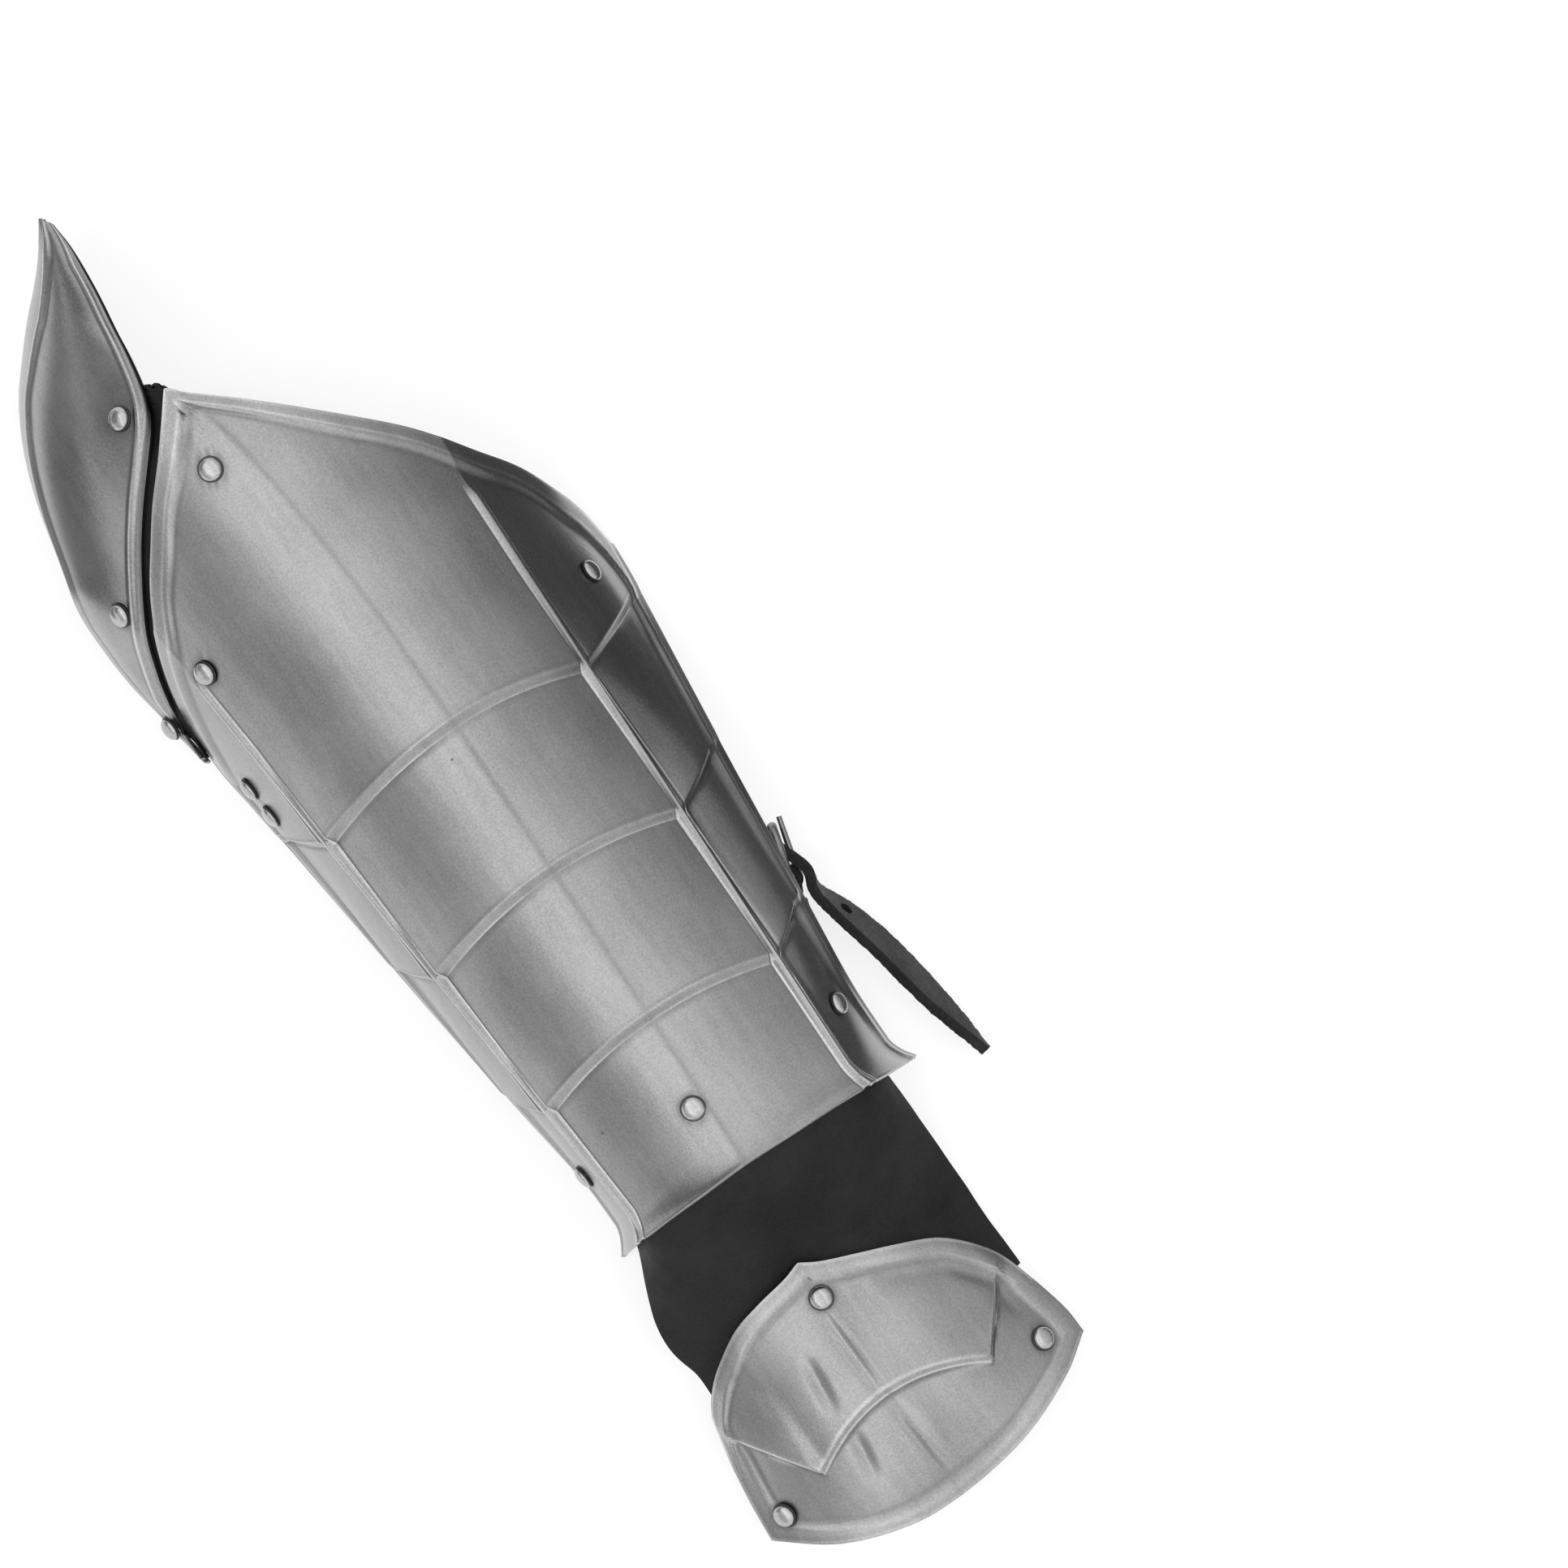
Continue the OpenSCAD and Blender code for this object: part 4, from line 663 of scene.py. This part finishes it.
def shadeHeadLip(piece):
    # painted shade under the lip of the head
    flat = np.zeros(len(piece.data.vertices) * 3, np.float32)
    piece.data.vertices.foreach_get("co", flat)
    flat = flat.reshape(-1, 3) / mm
    lip = 1.3 * held((0.95 - flat[:, 2]) / 0.4) * held((np.hypot(flat[:, 0], flat[:, 1]) - 2.8) / 0.3)
    dirtAndPaintedLight = piece.data.attributes.new("dirtAndPaintedLight", "FLOAT", "POINT")
    dirtAndPaintedLight.data.foreach_set("value", lip.astype(np.float32))


def turnTo(piece, place, way):
    turn = Vector((0, 0, 1)).rotation_difference(Vector([float(n) for n in way]))
    matrix = turn.to_matrix().to_4x4()
    matrix.translation = Vector([float(p) for p in (np.asarray(place) + shift) * mm])
    piece.data.transform(matrix)


def makeRivets(name, node, body, places):
    made = []
    for index, (place, way, stack) in enumerate(places):
        one = turnedPiece(f"{name}_{index}", rivetProfile(stack), rivetForm["around"])
        shadeHeadLip(one)
        tip = 0.12 * math.sin(index * 2.4)   # no two heads sit quite alike
        way = unit(np.asarray(way) + np.array([0.03 * math.cos(index * 1.7), 0.03 * tip, 0]))
        turnTo(one, place, way)
        made.append(one)
    deselectAll()
    for one in made:
        one.select_set(True)
    bpy.context.view_layer.objects.active = made[0]
    bpy.ops.object.join()
    piece = bpy.context.active_object
    piece.name = name
    smooth(piece, 40)
    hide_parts(node)
    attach(piece, body)
    return piece


# how far the washers lie below the plates, over what each rivet holds
leatherStack, palmStack = 4.2, 5.5
mainStacks = [leatherStack, leatherStack, 5.55, 5.55, 4.35, 4.45, 8.4, 7.1]


rimUp = 0.7   # the last head of the wing and of the hand plate sits on the turned border


def mainPlaces():
    places = []
    for i, (u, y) in enumerate(rivetMain):
        point, way = foreUnder(np.array(float(u)), np.array(float(y)), 0)
        fromMiddle = abs(point[0] - float(curveAt(middleTable, np.array(float(y)))))
        up = forearm["keel"] * math.exp(-fromMiddle / forearm["keelWide"])
        up += 0.35 if i == 1 else 0   # this head stands beside the ridge
        places.append((point + way * up, way, mainStacks[i] + up))
    return places


def wingPlaces():
    places = []
    for i, (s, t) in enumerate(rivetWing):
        s, t = np.array([float(s)]), np.array([float(t)])
        way, up = wingNormal(s, t)[0], rimUp if i == 2 else 0
        places.append((wingBase(s, t)[0] + way * up, way, leatherStack + up * 1.35))
    return places


def handPlaces():
    places = []
    for i, (x, v) in enumerate(rivetHand):
        x, v = np.array(float(x)), np.array(float(v))
        past = float(v - handLine(x))
        up = hand["step"] * float(held(past / 3)) * (1 - 0.8 * float(held((past - 3) / 26)))
        inside = float(held((handFar(x, v) - 3) / 6))
        up += hand["keel"] * math.exp(-abs(float(x) + 6) / hand["keelWide"]) * inside
        up += rimUp if i == 2 else 0
        way = handNormal(x, v)
        point = np.array([x, v - hand["gap"], handZ(x, v)])
        places.append((point + way * up, way, (leatherStack if i == 0 else palmStack) + up))
    return places


rivets = [
    makeRivets("forearmRivets", "forearm_rivets", "forearm", mainPlaces()),
    makeRivets("wingRivets", "wing_rivets", "wing", wingPlaces()),
    makeRivets("handRivets", "hand_rivets", "hand", handPlaces())]
print("rivets set")


# leathers and straps: a merged copy of the plain solid, made finer and given its surface
def copyOf(node, name):
    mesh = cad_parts[node].data.copy()
    piece = bpy.data.objects.new(name, mesh)
    bpy.context.scene.collection.objects.link(piece)
    mesh.materials.clear()
    pick(piece)
    bpy.ops.object.mode_set(mode="EDIT")
    bpy.ops.mesh.select_all(action="SELECT")
    bpy.ops.mesh.remove_doubles(threshold=0.01 * mm)
    bpy.ops.mesh.customdata_custom_splitnormals_clear()
    bpy.ops.mesh.tris_convert_to_quads(face_threshold=math.radians(70), shape_threshold=math.radians(70))
    bpy.ops.object.mode_set(mode="OBJECT")
    return piece


def sharpen(piece, degrees, strength):
    # edges of the leather keep their corner when the piece is made finer
    mesh = piece.data
    crease = mesh.attributes.get("crease_edge") or mesh.attributes.new("crease_edge", "FLOAT", "EDGE")
    faces = {}
    for polygon in mesh.polygons:
        for key in polygon.edge_keys:
            faces.setdefault(key, []).append(polygon.normal.copy())
    limit = math.cos(math.radians(degrees))
    for edge in mesh.edges:
        sides = faces.get(tuple(sorted(edge.vertices)), [])
        if len(sides) == 2 and sides[0].dot(sides[1]) < limit:
            crease.data[edge.index].value = strength


def markCut(piece):
    # the two broad sides are grain and flesh; all other faces between sharp edges are cut edges
    mesh = piece.data
    crease = mesh.attributes["crease_edge"]
    beside = {}
    for polygon in mesh.polygons:
        for key in polygon.edge_keys:
            beside.setdefault(key, []).append(polygon.index)
    sharp = {tuple(sorted(edge.vertices)) for edge in mesh.edges if crease.data[edge.index].value > 0.1}
    group, groups = {}, []
    for first in range(len(mesh.polygons)):
        if first in group:
            continue
        todo, area = [first], 0.0
        group[first] = len(groups)
        while todo:
            polygon = mesh.polygons[todo.pop()]
            area += polygon.area
            for key in polygon.edge_keys:
                if key in sharp:
                    continue
                for other in beside[key]:
                    if other not in group:
                        group[other] = len(groups)
                        todo.append(other)
        groups.append(area)
    broad = sorted(range(len(groups)), key=lambda index: -groups[index])[:2]
    cut = mesh.attributes.new("cut", "FLOAT", "FACE")
    cut.data.foreach_set("value", [0.0 if group[p.index] in broad else 1.0 for p in mesh.polygons])


def groupCut(piece):
    # the points of the cut edges, so that only they are frayed
    mesh = piece.data
    cut = mesh.attributes["cut"].data
    points = {v for p in mesh.polygons if cut[p.index].value > 0.5 for v in p.vertices}
    chosen = piece.vertex_groups.new(name="cutEdge")
    chosen.add(sorted(points), 1.0, "REPLACE")


def ruffle(piece, size, high, seed):
    cloud = bpy.data.textures.new(piece.name + "Cloud" + str(seed), "CLOUDS")
    cloud.noise_scale = size * mm
    cloud.noise_depth = 2
    wave = piece.modifiers.new("wave" + str(seed), "DISPLACE")
    wave.texture = cloud
    wave.strength = high * mm
    wave.mid_level = 0.5
    wave.texture_coords = "LOCAL"


# node, levels of finer mesh, size and height of the waves
leather = {
    "wristLeather": ("wrist_leather", 2, 22, 0.8), "wingLeather": ("wing_leather", 2, 12, 0.3)}
# node and the body it rides on
straps = {
    "palmStrap": ("palm_strap", "hand"), "elbowStrap": ("elbow_strap", "forearm"),
    "elbowTab": ("elbow_tab", "forearm"), "wristStrap": ("wrist_strap", "forearm"),
    "wristTab": ("wrist_tab", "forearm")}


# how far the wing leather runs on: down the narrow gap, and past the corner of the plates
reach = {"lowFrom": 206, "lowOver": 10, "lowMiddle": -67.9, "lowInto": -67, "narrow": 0.55,
         "lowMove": (0, -10.8, -0.6), "highMove": (4.2, 7.2, -1.2)}


def reachOn(piece):
    # the upper end is roughly cut
    flat = np.zeros(len(piece.data.vertices) * 3, np.float32)
    piece.data.vertices.foreach_get("co", flat)
    place = flat.reshape(-1, 3) / mm - shift
    low = held((reach["lowFrom"] - place[:, 1]) / reach["lowOver"]) * held((-61 - place[:, 0]) / 4)
    high = held(1.4 - np.linalg.norm(place - corner, axis=1) / 10)
    across = place[:, 0] - corner[0]
    rough = (1 + 0.07 * np.sin(place[:, 0] * 3.1 + place[:, 1] * 1.7) + 0.05 * np.sin(place[:, 0] * 7.3 + 1)
             + 0.3 * held(-across / 5) - 0.14 * bell(across - 2.5, 3))
    inGap = reach["narrow"] * (place[:, 0] - reach["lowMiddle"]) + reach["lowInto"]
    place[:, 0] += low ** 3 * (inGap - place[:, 0])
    place += low[:, None] * np.array(reach["lowMove"])
    place += (high * rough)[:, None] * np.array(reach["highMove"])
    piece.data.vertices.foreach_set("co", ((place + shift) * mm).astype(np.float32).ravel())
    piece.data.update()


def makeLeather(name):
    node, levels, size, high = leather[name]
    piece = copyOf(node, name)
    sharpen(piece, 50, 0.9)
    finer = piece.modifiers.new("finer", "SUBSURF")
    finer.levels = finer.render_levels = levels
    ruffle(piece, size, high, 1)
    applyAll(piece)
    if name == "wingLeather":
        reachOn(piece)
    smooth(piece, 50)
    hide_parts(node)
    return piece


def makeStrap(name):
    node, body = straps[name]
    piece = copyOf(node, name)
    sharpen(piece, 50, 0.85)
    markCut(piece)
    # a plain split first keeps the line of the strap clear of its buckle
    for kind, levels in (("SIMPLE", 1), ("CATMULL_CLARK", 2)):
        finer = piece.modifiers.new("finer", "SUBSURF")
        finer.subdivision_type = kind
        finer.levels = finer.render_levels = levels
    applyAll(piece)
    groupCut(piece)
    ruffle(piece, 4.0, 0.18, 1)
    ruffle(piece, 1.1, 0.55, 2)
    piece.modifiers[-1].vertex_group = "cutEdge"
    applyAll(piece)
    smooth(piece, 50)
    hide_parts(node)
    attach(piece, body)
    return piece


leathers = [makeLeather(name) for name in leather]
strapPieces = [makeStrap(name) for name in straps]
print("leather cut")


# materials
def newMaterial(name):
    material = bpy.data.materials.new(name)
    material.use_nodes = True
    tree = material.node_tree
    tree.nodes.clear()
    return material, tree


def add(tree, kind, settings=None, values=None, links=None):
    node = tree.nodes.new(kind)
    for key, value in (settings or {}).items():
        setattr(node, key, value)
    for key, value in (values or {}).items():
        node.inputs[key].default_value = value
    for key, socket in (links or {}).items():
        tree.links.new(socket, node.inputs[key])
    return node


def noiseAt(tree, place, scale, detail=3.0, stretch=(1, 1, 1), rough=0.5):
    mapped = add(tree, "ShaderNodeMapping", values={"Scale": stretch}, links={"Vector": place})
    return add(tree, "ShaderNodeTexNoise", values={"Scale": scale, "Detail": detail, "Roughness": rough},
               links={"Vector": mapped.outputs["Vector"]})


def ranged(tree, socket, low, high, newLow, newHigh):
    node = add(tree, "ShaderNodeMapRange",
               values={"From Min": low, "From Max": high, "To Min": newLow, "To Max": newHigh},
               links={"Value": socket})
    return node.outputs["Result"]


def sums(tree, kind, a, b):
    node = add(tree, "ShaderNodeMath", {"operation": kind})
    for index, value in enumerate((a, b)):
        if isinstance(value, (int, float)):
            node.inputs[index].default_value = value
        else:
            tree.links.new(value, node.inputs[index])
    return node.outputs[0]


def surface(tree, tone, rough, high, strength, deep, values):
    # a grey tone, a roughness and a bump height made into the finished surface
    colour = add(tree, "ShaderNodeCombineColor", links={"Red": tone, "Green": tone, "Blue": tone})
    bump = add(tree, "ShaderNodeBump", values={"Strength": strength, "Distance": deep},
               links={"Height": high})
    shader = add(tree, "ShaderNodeBsdfPrincipled", values=values,
                 links={"Base Color": colour.outputs["Color"], "Roughness": rough,
                        "Normal": bump.outputs["Normal"]})
    out = add(tree, "ShaderNodeOutputMaterial")
    tree.links.new(shader.outputs["BSDF"], out.inputs["Surface"])


steelLook = {
    "plateSteel": {"tone": 0.34, "vary": 0.12, "rough": (0.21, 0.33), "grain": 0.24, "pits": 1.0},
    "rivetSteel": {"tone": 0.50, "vary": 0.10, "rough": (0.18, 0.30), "grain": 0.10, "pits": 0.0},
    "buckleSteel": {"tone": 0.26, "vary": 0.12, "rough": (0.25, 0.40), "grain": 0.12, "pits": 0.0},
}


def makeSteel(name):
    look = steelLook[name]
    material, tree = newMaterial(name)
    place = add(tree, "ShaderNodeTexCoord").outputs["Object"]
    cloud = noiseAt(tree, place, 26, 4)
    smear = noiseAt(tree, place, 60, 3, (6, 0.7, 1))
    grain = noiseAt(tree, place, 1500, 3, rough=0.65)
    line = noiseAt(tree, place, 420, 3, (5, 0.35, 5), 0.6)
    dirtAndPaintedLight = add(tree, "ShaderNodeAttribute", {"attribute_name": "dirtAndPaintedLight"}).outputs["Fac"]
    cells = add(tree, "ShaderNodeTexVoronoi", {"feature": "F1"}, {"Scale": 75.0, "Randomness": 1.0},
                {"Vector": place})
    rare = noiseAt(tree, place, 34, 1)
    pit = sums(tree, "MULTIPLY", ranged(tree, cells.outputs["Distance"], 0.035, 0.02, 0, look["pits"]),
               ranged(tree, rare.outputs["Fac"], 0.5, 0.56, 0, 1))
    tone = sums(tree, "ADD", ranged(tree, cloud.outputs["Fac"], 0.3, 0.7, 1 - look["vary"], 1 + look["vary"]),
                ranged(tree, smear.outputs["Fac"], 0.3, 0.7, -look["vary"] * 0.5, look["vary"] * 0.5))
    tone = sums(tree, "ADD", tone, ranged(tree, grain.outputs["Fac"], 0.3, 0.7, -0.16, 0.16))
    tone = sums(tree, "MULTIPLY", tone, look["tone"])
    # dirt and painted shade darken the tone, painted highlights brighten it up to about twice
    tone = sums(tree, "MULTIPLY", tone, ranged(tree, dirtAndPaintedLight, 0, 1, 1, 0.22))
    tone = sums(tree, "MULTIPLY", tone, ranged(tree, dirtAndPaintedLight, 1, 2, 1, 0.1))
    tone = sums(tree, "MULTIPLY", tone, ranged(tree, dirtAndPaintedLight, -1, 0, 2.1, 1))
    tone = sums(tree, "MULTIPLY", tone, ranged(tree, pit, 0, 1, 1, 0.12))
    rough = sums(tree, "ADD", ranged(tree, cloud.outputs["Fac"], 0.3, 0.7, *look["rough"]),
                 ranged(tree, dirtAndPaintedLight, 0, 1, 0, 0.25))
    high = sums(tree, "ADD", grain.outputs["Fac"], sums(tree, "MULTIPLY", line.outputs["Fac"], 0.5))
    high = sums(tree, "SUBTRACT", high, sums(tree, "MULTIPLY", pit, 2.0))
    surface(tree, tone, rough, high, look["grain"], 0.00012, {"Metallic": 1.0})
    return material


leatherLook = {
    "blackLeather": {"dark": 0.004, "light": 0.010, "rough": (0.5, 0.7), "shine": 0.25, "scale": 700,
                     "bump": 0.3},
    "strapLeather": {"dark": 0.018, "light": 0.05, "rough": (0.6, 0.85), "shine": 0.3, "scale": 520,
                     "bump": 0.5},
}


def makeLeatherLook(name):
    look = leatherLook[name]
    material, tree = newMaterial(name)
    place = add(tree, "ShaderNodeTexCoord").outputs["Object"]
    cloud = noiseAt(tree, place, 40, 4)
    fine = noiseAt(tree, place, look["scale"] * 1.6, 4, rough=0.7)
    pores = add(tree, "ShaderNodeTexVoronoi", {"feature": "DISTANCE_TO_EDGE"},
                {"Scale": float(look["scale"])}, {"Vector": place})
    crack = noiseAt(tree, place, 90, 5, (1, 1, 1), 0.6)
    tone = sums(tree, "ADD", ranged(tree, cloud.outputs["Fac"], 0.3, 0.7, look["dark"], look["light"]),
                ranged(tree, fine.outputs["Fac"], 0.35, 0.7, -look["dark"] * 0.5, look["light"] * 0.35))
    cut = add(tree, "ShaderNodeAttribute", {"attribute_name": "cut"}).outputs["Fac"]
    tone = sums(tree, "MULTIPLY", tone, ranged(tree, cut, 0, 1, 1, 0.22))
    rough = ranged(tree, crack.outputs["Fac"], 0.3, 0.7, *look["rough"])
    high = sums(tree, "ADD", ranged(tree, pores.outputs["Distance"], 0.0, 0.12, 0, 0.6), fine.outputs["Fac"])
    surface(tree, tone, rough, high, look["bump"], 0.00015, {"Specular IOR Level": look["shine"]})
    return material


steels = {name: makeSteel(name) for name in steelLook}
hides = {name: makeLeatherLook(name) for name in leatherLook}


def dress(piece, material):
    piece.data.materials.clear()
    piece.data.materials.append(material)


for piece in plates:
    dress(piece, steels["plateSteel"])
for piece in rivets:
    dress(piece, steels["rivetSteel"])
for piece in leathers:
    dress(piece, hides["blackLeather"])
for piece in strapPieces:
    dress(piece, hides["strapLeather"])
carried = {
    "forearm_washers": "plateSteel", "wing_washers": "plateSteel", "hand_washers": "plateSteel",
    "elbow_tab_rivet": "rivetSteel", "wrist_tab_rivet": "rivetSteel", "elbow_frame": "buckleSteel",
    "elbow_prong": "buckleSteel", "wrist_frame": "buckleSteel", "wrist_prong": "buckleSteel"}
for node, look in carried.items():
    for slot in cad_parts[node].material_slots:
        slot.material = steels[look]
print("finishes laid")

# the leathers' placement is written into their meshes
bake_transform(leathers[0])
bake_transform(leathers[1])

# floor, backdrop, lamps and camera
studio = {"floorSize": 14.0, "camera": (0.0685, -0.0289, 1.4), "lens": 107.96, "turn": -34.5,
          "cardFar": 2.6, "cardLong": 5.0, "cardShift": -0.03}


def straightRays(tree):
    # seen by the camera, in a reflection or through glass
    rays = add(tree, "ShaderNodeLightPath")
    return sums(tree, "MAXIMUM", rays.outputs["Is Camera Ray"], sums(
        tree, "MAXIMUM", rays.outputs["Is Glossy Ray"], rays.outputs["Is Transmission Ray"]))


def makeFloor():
    deselectAll()
    bpy.ops.mesh.primitive_plane_add(size=studio["floorSize"], location=(0, 0, cadBox[0][2] - 0.0001))
    floor = bpy.context.active_object
    floor.name = "studioFloor"
    material, tree = newMaterial("studioWhite")
    seen = straightRays(tree)
    paper = add(tree, "ShaderNodeBsdfDiffuse", values={"Color": (0.9, 0.9, 0.9, 1)})
    white = add(tree, "ShaderNodeEmission", values={"Color": (1, 1, 1, 1), "Strength": 1.0})
    both = add(tree, "ShaderNodeMixShader")
    tree.links.new(sums(tree, "MULTIPLY", seen, 0.8), both.inputs["Fac"])
    tree.links.new(paper.outputs["BSDF"], both.inputs[1])
    tree.links.new(white.outputs["Emission"], both.inputs[2])
    out = add(tree, "ShaderNodeOutputMaterial")
    tree.links.new(both.outputs["Shader"], out.inputs["Surface"])
    dress(floor, material)


def makeWorld():
    world = bpy.data.worlds.new("studioAir")
    bpy.context.scene.world = world
    world.use_nodes = True
    tree = world.node_tree
    tree.nodes.clear()
    seen = straightRays(tree)
    level = ranged(tree, seen, 0, 1, 0.75, 1.0)
    air = add(tree, "ShaderNodeBackground", values={"Color": (1, 1, 1, 1)}, links={"Strength": level})
    out = add(tree, "ShaderNodeOutputWorld")
    tree.links.new(air.outputs["Background"], out.inputs["Surface"])


# grey and bright cards hang round the table, as for any picture of bright metal; only the metal sees them
cards = [
    # side angle from straight up, its half width, brightness
    (-85, 7, 1.05), (-62, 13, 0.58), (-43, 5, 0.8), (-27, 9, 1.6), (-9, 6, 1.35), (3, 5, 1.0),
    (16, 7, 1.45), (32, 8, 1.0), (50, 10, 0.78), (68, 8, 0.62), (83, 7, 0.36)]
lowCards = [
    # middle of the card, turn, size, brightness; the wing sees the first, the right side panel the
    # second and the wing's lower part the third
    ((-1.55, 1.75, 0.75), (0, -78, -48), (1.3, 2.3), 0.30),
    ((0.47, -0.03, 0.0003), (0, 0, 0), (0.78, 0.9), 0.12),
    ((-0.36, 0.37, 0.0003), (0, 0, 0), (0.54, 0.455), 0.30)]


def makeCard(name, place, turn, size, bright):
    deselectAll()
    bpy.ops.mesh.primitive_plane_add(size=1.0, location=place, rotation=[math.radians(t) for t in turn])
    card = bpy.context.active_object
    card.name = name
    card.scale = (*size, 1)
    bpy.ops.object.transform_apply(location=True, rotation=True, scale=True)
    material, tree = newMaterial(name + "Grey")
    glow = add(tree, "ShaderNodeEmission", values={"Color": (1, 1, 1, 1), "Strength": bright})
    out = add(tree, "ShaderNodeOutputMaterial")
    tree.links.new(glow.outputs["Emission"], out.inputs["Surface"])
    dress(card, material)
    card.visible_camera = False
    card.visible_diffuse = False
    card.visible_shadow = False
    card.visible_transmission = False


def makeCards():
    far = studio["cardFar"]
    for index, (angle, half, bright) in enumerate(cards):
        a = math.radians(angle)
        wide = 2 * far * math.tan(math.radians(half))
        place = (far * math.sin(a), studio["cardShift"], far * math.cos(a))
        makeCard(f"studioCard{index}", place, (0, angle, 0), (wide, studio["cardLong"]), bright)
    for index, (place, turn, size, bright) in enumerate(lowCards):
        makeCard(f"lowCard{index}", place, turn, size, bright)


lamps = [
    # place, size, power
    ((-0.35, 0.1, 2.2), (0.35, 2.2), 26),
    ((1.1, -0.9, 2.0), (0.8, 0.8), 14),
]


def makeLamps():
    for index, (place, size, power) in enumerate(lamps):
        light = bpy.data.lights.new(f"studioLamp{index}", "AREA")
        light.shape = "RECTANGLE"
        light.size, light.size_y = size
        light.energy = power
        lamp = bpy.data.objects.new(f"studioLamp{index}", light)
        bpy.context.scene.collection.objects.link(lamp)
        lamp.location = place
        lamp.visible_glossy = False   # the metal sees the cards instead
        aim = Vector((0, 0, 0.03)) - Vector(place)
        lamp.rotation_euler = aim.to_track_quat("-Z", "Y").to_euler()


def makeCamera():
    view = bpy.data.cameras.new("tableCamera")
    view.sensor_width = 36
    view.lens = studio["lens"]
    view.clip_start = 0.05
    view.clip_end = 50
    camera = bpy.data.objects.new("tableCamera", view)
    bpy.context.scene.collection.objects.link(camera)
    camera.location = studio["camera"]
    camera.rotation_euler = (0, 0, math.radians(studio["turn"]))
    bpy.context.scene.camera = camera


makeFloor()
makeWorld()
makeCards()
makeLamps()
makeCamera()
bpy.context.scene.view_settings.view_transform = "Standard"
print("studio set")
